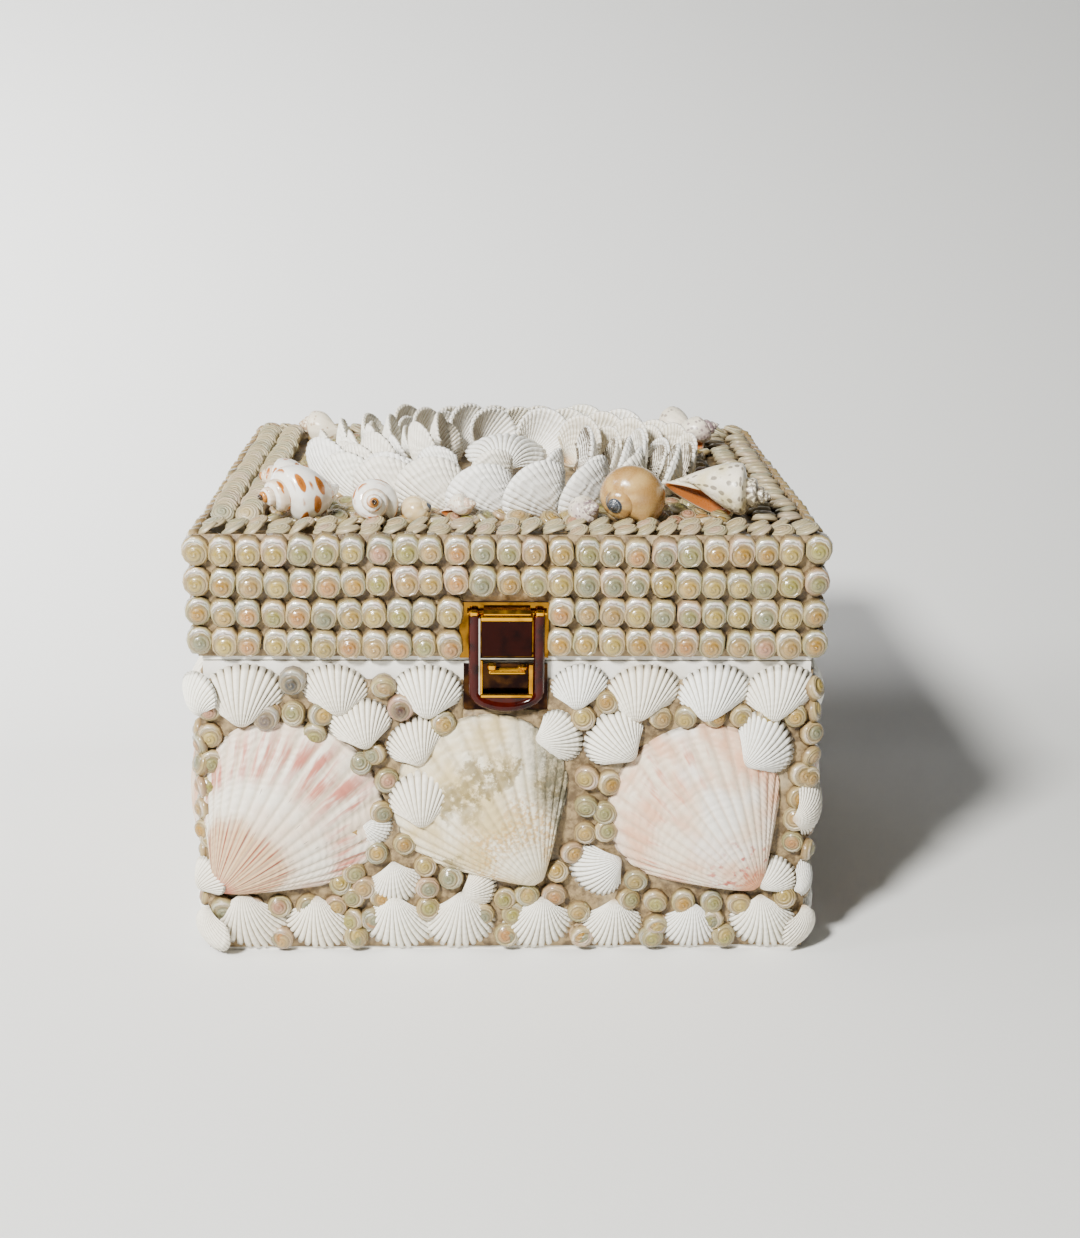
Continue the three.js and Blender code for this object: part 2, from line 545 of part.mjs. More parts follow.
function clasp() {
  const { x, width, bottom, bar, windowLow, windowHigh, thickness } = CLASP;
  const { y, z, barrel, bore, pin } = CLASP_HINGE;
  const plateFace = -HALF - GAP - 1;
  const middle = width / 2 - bar - 1;
  const knuckle = (from, to) => barX(barrel, from, to, y, z).subtract(barX(bore, from - 1, to + 1, y, z));
  const hole = barX(bore, x - width, x + width, y, z);

  const lidPlate = block([x - width / 2 - 2.5, plateFace, LID_BOTTOM + 1], [x + width / 2 + 0.6, -HALF - GAP, z + 3])
    .add(knuckle(x - middle, x + middle))
    .add(block([x - middle, y, z - 0.9], [x + middle, plateFace + 0.2, z + barrel]).subtract(hole));
  add("clasp_lid_plate", geometryOf(lidPlate), FINISH.gilt);

  // Flap: two round side bars, a recessed panel above, a window below and a round tongue.
  const back = -HALF - 3.2;
  const front = back - thickness;
  const outline = new THREE.Shape();
  outline.moveTo(-width / 2, z - 1.4);
  outline.lineTo(-width / 2, bottom + 3.4);
  outline.quadraticCurveTo(-width / 4, bottom - 0.2, 0, bottom - 0.2);
  outline.quadraticCurveTo(width / 4, bottom - 0.2, width / 2, bottom + 3.4);
  outline.lineTo(width / 2, z - 1.4);
  const sheet = new THREE.ExtrudeGeometry(outline, { depth: 1.2, bevelEnabled: false, curveSegments: 4 });
  const flat = place(solid(sheet), frameAt(new THREE.Vector3(x, back, 0), new THREE.Vector3(1, 0, 0),
    new THREE.Vector3(0, -1, 0)));
  const inner = width / 2 - bar;
  const window_ = block([x - inner, front - 1, windowLow], [x + inner, back + 1, windowHigh]);
  const sideBar = (centre) => {
    const round = new THREE.CylinderGeometry(bar / 2, bar / 2, z - 1.4 - bottom - 2.6, 10).rotateX(Math.PI / 2);
    const full = shifted(solid(round), centre, back, (z - 1.4 + bottom + 2.6) / 2);
    return full.intersect(block([centre - bar, back - thickness, 0], [centre + bar, back, z + 9]));
  };
  const ears = knuckle(x - width / 2, x - middle - GAP).add(knuckle(x + middle + GAP, x + width / 2));
  const necks = block([x - width / 2, y - 1.6, z - 2.2], [x - middle - GAP, back, z])
    .add(block([x + middle + GAP, y - 1.6, z - 2.2], [x + width / 2, back, z]));
  const clearKnuckle = block([x - middle - GAP, front - 1, z - barrel - GAP], [x + middle + GAP, y + 3, z + 9]);
  const flap = flat.subtract(window_).subtract(clearKnuckle)
    .add(sideBar(x - width / 2 + bar / 2)).add(sideBar(x + width / 2 - bar / 2))
    .add(block([x - inner, back - 1.4, windowHigh], [x + inner, back, windowHigh + 0.8]))
    .add(necks.add(ears).subtract(hole));
  add("clasp_flap", geometryOf(flap), FINISH.smoked);
  add("clasp_pin", geometryOf(barX(pin, x - width / 2, x + width / 2, y, z, 8)), FINISH.gilt);

  // Catch on the box: a plate with a bar between two knobs, seen through the window of the flap.
  const catchTop = BOX.bodyHeight - 0.4;
  const knobZ = catchTop - 2;
  const catchPlate = block([x - width / 2 - 1.2, plateFace, bottom], [x + width / 2 + 0.4, -HALF - GAP, catchTop])
    .add(barX(0.8, x - 4.6, x + 4.6, plateFace - 0.6, knobZ, 8))
    .add(barX(1.5, x - 5.8, x - 3.6, plateFace - 0.2, knobZ, 8))
    .add(barX(1.5, x + 3.6, x + 5.8, plateFace - 0.2, knobZ, 8));
  add("clasp_catch", geometryOf(catchPlate), FINISH.gilt);
}

FACES.forEach(dressFace);
FACES.forEach(dressLidSide);
placeSnails();
fillField();
ROSETTE.forEach(petalRing);
rosetteCentre();
HINGE_PLACES.forEach((x, i) => hinge(i ? "right" : "left", x));
clasp();

export default root;
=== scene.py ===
# %% [markdown]
# # A keepsake box covered in seashells
# The box is thin board, 200 mm square. Shells are glued all over it: scallops and white cockles on the four
# faces, rows of small button shells round the lid, and a rosette of standing cockles on top with sea snails
# at its corners. The frame gives the boards, hinges and clasp. The shells are modelled here, each at the
# place the frame has for it.

# %% Load the frame
import math
import random
from functools import partial

import bpy
from mathutils import Matrix, Vector
from mathutils.noise import noise as unevenness


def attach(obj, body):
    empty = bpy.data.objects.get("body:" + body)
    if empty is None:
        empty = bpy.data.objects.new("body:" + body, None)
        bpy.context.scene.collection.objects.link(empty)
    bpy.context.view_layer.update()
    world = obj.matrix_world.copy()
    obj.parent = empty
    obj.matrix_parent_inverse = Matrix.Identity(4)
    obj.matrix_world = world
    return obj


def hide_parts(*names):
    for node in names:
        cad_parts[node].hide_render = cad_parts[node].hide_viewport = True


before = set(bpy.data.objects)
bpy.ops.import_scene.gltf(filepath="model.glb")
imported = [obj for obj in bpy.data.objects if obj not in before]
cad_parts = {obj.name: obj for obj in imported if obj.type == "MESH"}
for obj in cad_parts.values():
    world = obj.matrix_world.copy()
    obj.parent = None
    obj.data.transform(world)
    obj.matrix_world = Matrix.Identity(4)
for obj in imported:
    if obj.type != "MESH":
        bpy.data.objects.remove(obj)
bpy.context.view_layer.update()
MM = 0.001

# %% [markdown]
# ## Camera, backdrop and light
# The box stands at eye height on a pale seamless sheet, with a big soft light high on the left. A long lens,
# a little above the lid, keeps the sides upright.

# %% Camera
def aim_camera(place, down, yaw, roll, lens):
    """The angles are in radians: how far the lens looks down, to the right, and leans."""
    data = bpy.data.cameras.new("studio_camera")
    data.lens, data.clip_start, data.clip_end = lens, 0.05, 20
    camera = bpy.data.objects.new("studio_camera", data)
    bpy.context.scene.collection.objects.link(camera)
    facing = Matrix.Rotation(-yaw, 4, "Z") @ Matrix.Rotation(math.pi / 2 - down, 4, "X")
    camera.matrix_world = Matrix.Translation(place) @ facing @ Matrix.Rotation(-roll, 4, "Z")
    bpy.context.scene.camera = camera

aim_camera((-0.00808, -0.69495, 0.28407), down=0.27291, yaw=0.03085, roll=-0.00984, lens=55)

# %% [markdown]
# The sheet is one plane whose back edge is pulled out in small steps that rise more and more, so that no
# horizon shows.

# %% Seamless sheet
def deselect():
    if bpy.context.mode != "OBJECT":
        bpy.ops.object.mode_set(mode="OBJECT")
    bpy.ops.object.select_all(action="DESELECT")


def start_editing(piece, everything=False):
    deselect()
    bpy.context.view_layer.objects.active = piece
    piece.select_set(True)
    bpy.ops.object.mode_set(mode="EDIT")
    bpy.ops.mesh.select_all(action="SELECT" if everything else "DESELECT")


def select_edges(piece, wanted):
    """Selects the edges whose middle satisfies the test."""
    bpy.ops.object.mode_set(mode="OBJECT")
    points = piece.data.vertices
    for edge in piece.data.edges:
        edge.select = wanted((points[edge.vertices[0]].co + points[edge.vertices[1]].co) / 2)
    bpy.ops.object.mode_set(mode="EDIT")


deselect()
SHEET_SIZE, CURL_START, CURL_LENGTH, CURL_STEEPNESS, CURL_STEPS = 6, 0.10, 3.0, 0.5, 30  # metres
bpy.ops.mesh.primitive_plane_add(size=SHEET_SIZE, location=(0, CURL_START - SHEET_SIZE / 2, 0))
sheet = bpy.context.object
sheet.name = "seamless_sheet"
start_editing(sheet)
bpy.ops.mesh.select_mode(type="EDGE")
select_edges(sheet, lambda middle: middle.y > SHEET_SIZE / 2 - 0.1)
for step in range(CURL_STEPS):
    near, far = [CURL_LENGTH * (k / CURL_STEPS) ** 1.6 for k in (step, step + 1)]
    rise = CURL_STEEPNESS * (far ** 1.5 - near ** 1.5)
    bpy.ops.mesh.extrude_region_move(TRANSFORM_OT_translate={"value": (0, far - near, rise)})
deselect()
sheet.select_set(True)
bpy.ops.object.transform_apply(location=True, rotation=True, scale=True)
bpy.ops.object.shade_smooth()

# %% Lights
def soft_light(name, place, target, size, watts, colour, spread=180):
    """A round area lamp, its size in metres."""
    data = bpy.data.lights.new(name, "AREA")
    data.shape, data.size, data.spread = "DISK", size, math.radians(spread)
    data.energy, data.color = watts, colour
    lamp = bpy.data.objects.new(name, data)
    lamp.location = place
    lamp.rotation_euler = (Vector(target) - Vector(place)).to_track_quat("-Z", "Y").to_euler()
    bpy.context.scene.collection.objects.link(lamp)


soft_light("key_light", (-0.56, -0.98, 0.91), (0, 0, 0.08), 0.22, 47, (1, 0.995, 0.955))
soft_light("top_light", (-0.25, -0.05, 1.3), (0, 0, 0.1), 0.8, 0.9, (1, 1, 1))
soft_light("backdrop_light", (-1.1, -0.3, 0.9), (-0.75, 0.5, 0.2), 0.5, 17, (1, 1, 1), spread=90)
world = bpy.data.worlds.new("studio")
bpy.context.scene.world = world
world.use_nodes = True
world.node_tree.nodes["Background"].inputs["Color"].default_value = (0.80, 0.81, 0.82, 1)
world.node_tree.nodes["Background"].inputs["Strength"].default_value = 0.07

# %% [markdown]
# ## Helpers for materials
# Every finish is built from nodes. A table gives each kind of node a short name, with its settings and the
# output that is read, and one small function adds a node and links it. Colours are written as sRGB and turned
# to linear in one place. The size of a pattern and the depth of a bump are given in millimetres.

# %% Table of nodes
NODES = {  # a short name: the kind of node, what is set on it, and the output that is read
    "here": ("TexCoord", {}, "Object"),
    "map": ("TexCoord", {}, "UV"),
    "tint": ("Attribute", {"attribute_name": "tint"}, "Color"),
    "core": ("Attribute", {"attribute_name": "core"}, "Color"),
    "relief": ("Attribute", {"attribute_name": "relief"}, "Fac"),
    "noise": ("TexNoise", {"Detail": 3}, "Fac"),
    "cells": ("TexVoronoi", {}, "Distance"),
    "split": ("SeparateXYZ", {}, "X"),
    "split_colour": ("SeparateColor", {}, "Red"),
    "join": ("CombineXYZ", {}, "Vector"),
    "mix": ("Mix", {"data_type": "RGBA"}, 2),
    "step": ("MapRange", {"interpolation_type": "SMOOTHSTEP"}, "Result"),
    "bump": ("Bump", {"Strength": 1}, "Normal"),
    "times": ("Math", {"operation": "MULTIPLY"}, "Value"),
    "times_plus": ("Math", {"operation": "MULTIPLY_ADD"}, "Value"),
    "plus": ("Math", {"operation": "ADD"}, "Value"),
    "minus": ("Math", {"operation": "SUBTRACT"}, "Value"),
    "power": ("Math", {"operation": "POWER"}, "Value"),
    "exponent": ("Math", {"operation": "EXPONENT"}, "Value"),
    "sine": ("Math", {"operation": "SINE"}, "Value"),
    "cosine": ("Math", {"operation": "COSINE"}, "Value"),
    "fraction": ("Math", {"operation": "FRACT"}, "Value"),
    "size": ("Math", {"operation": "ABSOLUTE"}, "Value"),
}

# %% Node helpers
def linear(colour):
    """An sRGB hex colour as linear red, green, blue and alpha."""
    parts = [int(colour[i:i + 2], 16) / 255 for i in (1, 3, 5)]
    return tuple(c / 12.92 if c <= 0.04045 else ((c + 0.055) / 1.055) ** 2.4 for c in parts) + (1.0,)


def add_node(tree, name, *values, output=None, **named):
    """Adds a node of the table and gives its output. Values fill its sockets in order, or by their names,
    which start with a capital; other names are settings. What is itself an output is linked."""
    kind, preset, usual_output = NODES[name]
    node = tree.nodes.new("ShaderNode" + kind)
    named = {**preset, **named}
    for setting in [key for key in named if key[0].islower()]:
        setattr(node, setting, named.pop(setting))
    sockets = [socket for socket in node.inputs if socket.enabled]
    sockets = sockets[:len(values)] + [node.inputs[key] for key in named]
    for socket, value in zip(sockets, [*values, *named.values()]):
        if isinstance(value, bpy.types.NodeSocket):
            tree.links.new(value, socket)
        else:
            socket.default_value = linear(value) if isinstance(value, str) else value
    return node.outputs[output or usual_output]


def of_size(size_mm):
    """The scale of a pattern whose features are about this wide."""
    return 1 / (size_mm * MM)


def finish(name, build, **constants):
    """A material. Its build function adds nodes, here being the place on the object, and returns colour,
    roughness and normal."""
    material = bpy.data.materials.new(name)
    material.use_nodes = True
    surface = material.node_tree.nodes["Principled BSDF"]
    for key, value in constants.items():
        surface.inputs[key.replace("_", " ").title().replace("Ior", "IOR")].default_value = value
    add = partial(add_node, material.node_tree)
    for key, socket in zip(("Base Color", "Roughness", "Normal"), build(add, add("here"))):
        material.node_tree.links.new(socket, surface.inputs[key])
    return material

# %% Seamless paper
def seamless_paper(add, here):
    """Uncoated paper: matt, with a tone that is never quite even."""
    grain = add("noise", here, of_size(900), Detail=2)
    colour = add("mix", grain, "#f1f1ef", "#ebebe9")
    normal = add("bump", Height=add("noise", here, of_size(2)), Distance=0.05 * MM)
    return colour, add("step", grain, 0.3, 0.7, 0.85, 0.95), normal


sheet.data.materials.append(finish("seamless_paper", seamless_paper))

# %% [markdown]
# ## Helpers for shells
# A shell has no flat or round part that an extrusion would give: it grows by a rule. So each kind starts as a
# grid primitive, its points are moved to where the growth rule puts them, its seams are merged and its
# normals are turned outwards. It is modelled once, and every shell on the box is a copy with a mesh of its
# own. Each point also keeps how high the relief stands there, so that a finish can find the grooves.

# %% Grid to shell
def grow(name, across, along, rule, closed=True):
    """Makes a grid and moves each point to rule(u, v), which gives (x, y, z) in mm and the relief, 0 to 1."""
    deselect()
    bpy.ops.mesh.primitive_grid_add(x_subdivisions=across, y_subdivisions=along, size=2, calc_uvs=True)
    piece = bpy.context.object
    piece.name = name
    relief = piece.data.attributes.new("relief", "FLOAT", "POINT")
    for i, point in enumerate(piece.data.vertices):
        place, height = rule((point.co.x + 1) / 2, (point.co.y + 1) / 2)
        point.co = Vector(place) * MM
        relief.data[i].value = height
    start_editing(piece, everything=True)
    if closed:
        bpy.ops.mesh.remove_doubles(threshold=0.00001)
        bpy.ops.mesh.normals_make_consistent(inside=False)
    bpy.ops.object.mode_set(mode="OBJECT")
    bpy.ops.object.shade_smooth()
    return piece

# %% Copies and their colours
def frame_at(origin, along, up):
    """Axes with Z up and X as near along as it can be; the origin is in mm."""
    z = Vector(up).normalized()
    y = z.cross(Vector(along)).normalized()
    turned = Matrix((y.cross(z), y, z)).transposed().to_4x4()
    turned.translation = Vector(origin) * MM
    return turned


def copy_to(master, place, tint="#ffffff", core="#ffffff"):
    """A copy with its own mesh, its place in the mesh, and two colours kept as attributes."""
    copy = bpy.data.objects.new(master.name, master.data.copy())
    copy.data.transform(place)
    for name, colour in (("tint", tint), ("core", core)):
        layer = copy.data.attributes.new(name, "FLOAT_COLOR", "POINT")
        value = linear(colour) if isinstance(colour, str) else colour
        layer.data.foreach_set("color", value * len(copy.data.vertices))
    bpy.context.scene.collection.objects.link(copy)
    return copy


def put_together(name, copies, material, body, nodes):
    """Joins copies to one piece, gives it its finish and says what it rides on and stands for."""
    deselect()
    for copy in copies:
        copy.select_set(True)
    bpy.context.view_layer.objects.active = copies[0]
    if len(copies) > 1:
        bpy.ops.object.join()
    piece = bpy.context.view_layer.objects.active
    piece.name = name
    piece.data.materials.clear()
    piece.data.materials.append(material)
    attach(piece, body)
    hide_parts(*nodes)
    triangles = sum(len(face.vertices) - 2 for face in piece.data.polygons)
    print(f"{name}: {len(copies)} shells, {triangles} triangles")
    return piece


chance = random.Random(7)


def shade(colour, spread):
    """The colour, a little lighter or darker by chance."""
    factor = 1 + chance.uniform(-spread, spread)
    return tuple(min(1.0, c * factor) for c in linear(colour)[:3]) + (1.0,)

# %% [markdown]
# ## Bivalve valves
# A cockle or scallop valve grows by scaling about its umbo, the beak, while it turns about the hinge line. So
# each growth ring is a smaller copy of the rim, turned up a little more. The rim is an ellipse with straight
# sides to the umbo. Ribs are cut down into that surface, so that the valve never stands prouder than its
# smooth form.

# %% Rule of a valve
MASTER_WIDTH = 20  # mm, of the cockle and the petal that the copies are made from
COCKLE = dict(ratio=0.78, spread=74, trim=0.8, growth=0.95)
SCALLOP = dict(length=65, width=61, spread=48, trim=1, growth=0.4)
PETAL = dict(ratio=1, spread=66, trim=0.78, growth=0.8)
CENTRE = dict(width=31, length=26.5, spread=74, trim=0.86, growth=1)


def rim_of(length, width, spread, trim, **_):
    """The rim as a function of t, -1 to 1."""
    half = width / 2
    side = half / math.tan(math.radians(spread))
    centre = (length + side ** 2 / length) / 2
    reach = length - centre
    opening = trim * math.acos(-reach / centre)
    return lambda t: (centre + reach * math.cos(t * opening), half * math.sin(t * opening))


def valve_surface(rim, growth, t, scale):
    x, y = rim(t)
    turn = growth * math.log(1 / scale)
    return Vector((scale * x * math.cos(turn), scale * y, scale * x * math.sin(turn)))


def ribbed_valve(name, shape, ribs, per_rib, rings, groove, sharpness, smallest=0.05, glued=True):
    """A valve with ribs. A glued one is closed below; an open one is a sheet that still needs its wall."""
    rim = rim_of(**shape)
    columns, rows = ribs * per_rib + (2 if glued else 0), rings + (1 if glued else 0)
    small = 0.002

    def at(t, scale):
        return valve_surface(rim, shape["growth"], t, scale)

    def rule(u, v):
        column, row = round(u * columns), round(v * rows)
        if glued and row == rows:
            return (0.55 * shape["length"], 0, 0), 0
        v = row / rings
        scale = math.exp(math.log(smallest) * (1 - v) ** 1.25)
        if glued and column in (0, columns):
            return (scale * shape["length"] * 0.5, 0, 0), 0
        step = column - 1 if glued else column
        t = 2 * step / (ribs * per_rib) - 1
        height = abs(math.sin(math.pi * step / per_rib)) ** sharpness
        point = at(t, scale)
        inwards = (at(t + small, scale) - at(t - small, scale)).cross(at(t, scale * 1.01) - point)
        inwards.normalize()
        point += inwards * groove * (scale ** 0.8) * (1 - height)
        return (point.x, point.y, point.z), height

    return grow(name, columns, rows, rule, closed=glued)


cockle_size = dict(COCKLE, length=MASTER_WIDTH * COCKLE["ratio"], width=MASTER_WIDTH)
cockle = ribbed_valve("cockle", cockle_size, ribs=19, per_rib=4, rings=11, groove=0.85, sharpness=0.42)
scallop = ribbed_valve("scallop", SCALLOP, ribs=20, per_rib=8, rings=36, groove=0.8, sharpness=0.8)
print("cockle", len(cockle.data.polygons), "faces; scallop", len(scallop.data.polygons), "faces")

# %% [markdown]
# Cockle shell is chalky and white. The grooves between the ribs are painted darker as painted shade, and fine
# growth lines cross them. The tint is kept on each copy, so that some shells are creamier or weathered grey.

# %% Chalky cockle
def uv_of(add):
    """The two coordinates of the grid that a shell was grown from."""
    u = add("split", add("map"))
    return u, u.node.outputs["Y"]


def chalky_cockle(add, here):
    """Beach-worn aragonite: matt and white, with painted shade in the grooves, stained towards the beak."""
    _, ring = uv_of(add)
    relief = add("relief")
    wobble = add("noise", here, of_size(7), Detail=4)
    lines = add("sine", add("times_plus", ring, 95, add("times", wobble, 14)))
    # painted shade: the grooves between the ribs are darkened, unevenly
    painted_groove_shade = add("step", add("plus", relief, add("times", wobble, 0.3)), 0.1, 0.95)
    colour = add("mix", painted_groove_shade, "#86795f", "#fdfcf5")
    colour = add("mix", add("step", add("noise", here, of_size(12), Detail=5), 0.5, 0.8, 0, 0.4), colour,
                 "#e9dfce")
    colour = add("mix", add("step", lines, 0.6, 1, 0, 0.15), colour, "#cfc7ba")
    stain = add("times", add("step", ring, 0.42, 0.1), add("step", wobble, 0.35, 0.65))
    colour = add("mix", add("times", stain, 0.75), colour, "#c9a777")
    speckle = add("step", add("noise", here, of_size(1.6), Detail=4, Roughness=0.75), 0.47, 0.62)
    colour = add("mix", speckle, colour, add("mix", 1.0, colour, add("core"), blend_type="MULTIPLY"))
    colour = add("mix", 1.0, colour, add("tint"), blend_type="MULTIPLY")
    pits = add("noise", here, of_size(0.5), Detail=4, Roughness=0.7)
    rough = add("step", pits, 0.3, 0.7, 0.5, 0.68)
    normal = add("bump", Height=lines, Distance=0.05 * MM,
                 Normal=add("bump", Height=pits, Distance=0.06 * MM))
    return colour, rough, normal


chalk = finish("chalky_cockle_shell", chalky_cockle, specular_ior_level=0.4)

# %% [markdown]
# ## The faces of the box
# Each face is laid out in its own plane: u to the right and v up from the table, in millimetres, seen from
# outside, then turned about the upright axis to its side of the box. The shells sit in a coat of glue 0.9 mm
# thick.

# %% Where things are on a face
HALF, GAP, GLUE, SINK = 100, 0.3, 0.9, 0.3  # half the board's width, then clearances and depths
LID_BOTTOM, LID_TOP = 103.6, 143
BED = HALF + GAP + GLUE
FACES = {"front": 0, "right": 90, "back": 180, "left": 270}
FRONT_SCALLOPS = {"left": (-97.5, 22.7, 50), "middle": (11, 25, 122), "right": (85.4, 23.2, 127)}
PLAIN_SCALLOPS = {"left": (-66, 21.5, 88), "middle": (0, 21.5, 90), "right": (66, 21.5, 92)}
# u, v of the middle, width, direction, and how far it is lifted where it lies on a scallop
FRONT_COCKLES = [
    (-87.6, 92.6, 24.7, 90, 0), (-55.8, 94.4, 20.6, 92, 0), (-26.3, 93.6, 21.5, 88, 0),
    (22.6, 95.2, 17.5, 92, 0), (43, 93.4, 22.5, 90, 0), (66.2, 93.6, 22, 90, 0), (88, 93.8, 21.5, 90, 0),
    (-48.7, 82.6, 19.5, 103, 0.8), (-32, 75.7, 18, 115, 1), (-29.5, 57, 22, 97, 2.4),
    (17.1, 78.8, 17, 15, 0.8), (35.1, 77.1, 20.5, 135, 1), (86.5, 74.6, 21, 40, 1.6), (91, 28.5, 15, 45, 1.2),
    (30.6, 28.8, 19, 215, 0), (-37.2, 24.3, 18.5, -80, 0), (-8.9, 23.1, 14, 8, 1), (-93, 27.8, 12, -45, 1.4),
    (-44.3, 44.2, 12.5, -35, 0),
    (-89, 9.4, 23.6, -90, 0), (-64.6, 9.2, 22.3, -90, 0), (-38.6, 9.4, 22.7, -92, 0),
    (-15.5, 9.4, 22.6, -90, 0), (11.9, 9.2, 22.3, -89, 0), (36.4, 8.8, 20.5, -90, 0), (62.8, 8.6, 19, -91, 0),
    (86.4, 9.4, 22.4, -90, 0),
]
BACK_COCKLES = [((i - 4) * 23.5, 84.5, 19.5, 90, 0) for i in range(9)]
PLAIN_COCKLES = [((i - 3) * 28, 92, 25.6, 90, 0) for i in range(7)]
FOOT_COCKLES = [((i - 3.5) * 24.5, 9.6, 22.6, -90, 0) for i in range(8)]
COCKLES = dict.fromkeys(FACES, PLAIN_COCKLES + FOOT_COCKLES)
COCKLES.update(front=FRONT_COCKLES, back=BACK_COCKLES + FOOT_COCKLES)
SCALLOPS = dict.fromkeys(FACES, PLAIN_SCALLOPS)
SCALLOPS.update(front=FRONT_SCALLOPS)


def side_turn(face):
    return Matrix.Rotation(math.radians(FACES[face]), 4, "Z")


def on_face(face, u, v, height, direction=90, back=0):
    """The place of a shell that lies on a face, its X axis pointing in the direction given in degrees."""
    along = Vector((math.cos(math.radians(direction)), 0, math.sin(math.radians(direction))))
    return side_turn(face) @ frame_at(Vector((u, -height, v)) - along * back, along, (0, -1, 0))

# %% The coat of glue
LUMP_SIZE, GLUE_GRID = 5, 3  # mm


def coat_of_glue(face, u, v, thickness=GLUE):
    """A slab between u[0] and u[1], v[0] and v[1], with an uneven face."""
    wide, high = u[1] - u[0], v[1] - v[0]

    def rule(across, along):
        x, y = u[0] + across * wide, v[0] + along * high
        lumps = unevenness(Vector((x, y, FACES[face])) / LUMP_SIZE)
        return (x, y, thickness + 0.5 * lumps), 0

    slab = grow("glue", max(3, round(wide / GLUE_GRID)), max(3, round(high / GLUE_GRID)), rule, closed=False)
    give_wall(slab, thickness - GAP)
    slab.data.transform(side_turn(face) @ frame_at((0, -HALF, 0), (1, 0, 0), (0, -1, 0)))
    return slab


def give_wall(piece, thickness_mm):
    """Makes a sheet solid, inwards from its outer face."""
    deselect()
    bpy.context.view_layer.objects.active = piece
    piece.select_set(True)
    wall = piece.modifiers.new("wall", "SOLIDIFY")
    wall.thickness, wall.offset = thickness_mm * MM, -1
    bpy.ops.object.modifier_apply(modifier="wall")
    bpy.ops.object.shade_smooth()


def glue_with_painted_shade(add, here):
    """Old brown glue with sand and dust in it: lumpy, and half shiny where it is clean. Its brown is painted
    darker, darkest in the hollows of the lumps, as painted shade in the gaps between shells.
    """
    lump = add("noise", here, of_size(3), Detail=5, Roughness=0.65)
    # painted shade: dark brown overall and darkest in the hollows of the lumps, for the shade in the gaps
    # between shells
    colour = add("mix", add("step", lump, 0.35, 0.65), "#5d4a30", "#9c8560")
    colour = add("mix", add("step", add("noise", here, of_size(14)), 0.55, 0.8, 0, 0.5), colour, "#cdbf9f")
    return colour, add("step", lump, 0.3, 0.7, 0.4, 0.7), add("bump", Height=lump, Distance=0.5 * MM)


glue_and_shade_finish = finish("glue_with_painted_shade", glue_with_painted_shade)
CLASP_NOTCH, NOTCH_FOOT, GLUE_FOOT = (-14.9, 13.1), 86.6, 1.5
GLUE_TOP = {"front": 97, "right": 100, "back": 92.5, "left": 100}


def glue_reach(face):
    """The coats in front and behind cover the ends of the ones at the sides."""
    return HALF + 1.2 if face in ("front", "back") else HALF - GAP


for face, top in GLUE_TOP.items():
    wide = glue_reach(face)
    spans = [(-wide, wide, top)]
    if face == "front":
        spans = [(-wide, CLASP_NOTCH[0], top), (*CLASP_NOTCH, NOTCH_FOOT), (CLASP_NOTCH[1], wide, top)]
    slabs = [coat_of_glue(face, (low, high), (GLUE_FOOT, end)) for low, high, end in spans]
    put_together(f"{face}_glue", slabs, glue_and_shade_finish, "box", [f"{face}_cockles_and_buttons"])

# %% Cockles on the faces
SWELL = 1.1  # each cockle is a little wider than its seat, so that neighbours meet
LOWEST, TOP_ROW, HIGHEST = 0.8, 84, 102.6  # mm above the table


def lay_cockle(face, u, v, width, direction, lift, on=None):
    """A copy of the cockle, its beak a little to one side."""
    lean = Matrix.Identity(4)
    lean[1][0] = chance.uniform(-0.22, 0.22)
    width *= SWELL
    length = width * COCKLE["ratio"] * chance.uniform(0.95, 1.03)
    if direction < -80:
        v = max(v, length / 2 + LOWEST)
    elif direction > 86 and v > TOP_ROW:
        v = min(v, HIGHEST - length / 2)
    sideways = width / MASTER_WIDTH
    size = Matrix.Diagonal((length / MASTER_WIDTH / COCKLE["ratio"], sideways, sideways, 1))
    place = on or on_face(face, u, v, BED - SINK + lift, direction, back=length / 2)
    tint = shade(chance.choice(["#ffffff", "#fdfaf4", "#f8f2e8"]), 0.03)
    return copy_to(cockle, place @ lean @ size, tint)


for face in FACES:
    shells = [lay_cockle(face, *row) for row in COCKLES[face]]
    put_together(f"{face}_cockles", shells, chalk, "box", [f"{face}_cockles_and_buttons"])

# %% [markdown]
# ## Scallops
# The three scallops on a face are broad and low, with about twenty rounded ribs. Their colours lie in rings
# round the beak and follow the ribs, so each finish is mixed from how far out a point is and from noise drawn
# out along the ribs.

# %% Scallop finishes
def scallop_maps(add, here):
    """Across the ribs 0 to 1, the share of the way to the rim, and two noises: one that follows the ribs, one
    free."""
    across, ring = uv_of(add)
    reach = add("exponent", add("times", add("power", add("minus", 1.0, ring), 1.25), -3.0))
    drawn = add("join", add("times", across, 34), add("times", reach, 3))
    flame = add("noise", drawn, 1.0, Roughness=0.6)
    return across, reach, drawn, flame, add("noise", here, of_size(13), Detail=4)


def band(add, value, low, high, soft=0.08):
    """1 between low and high and 0 outside, with soft edges."""
    return add("times", add("step", value, low - soft, low + soft),
               add("step", value, high + soft, high - soft))


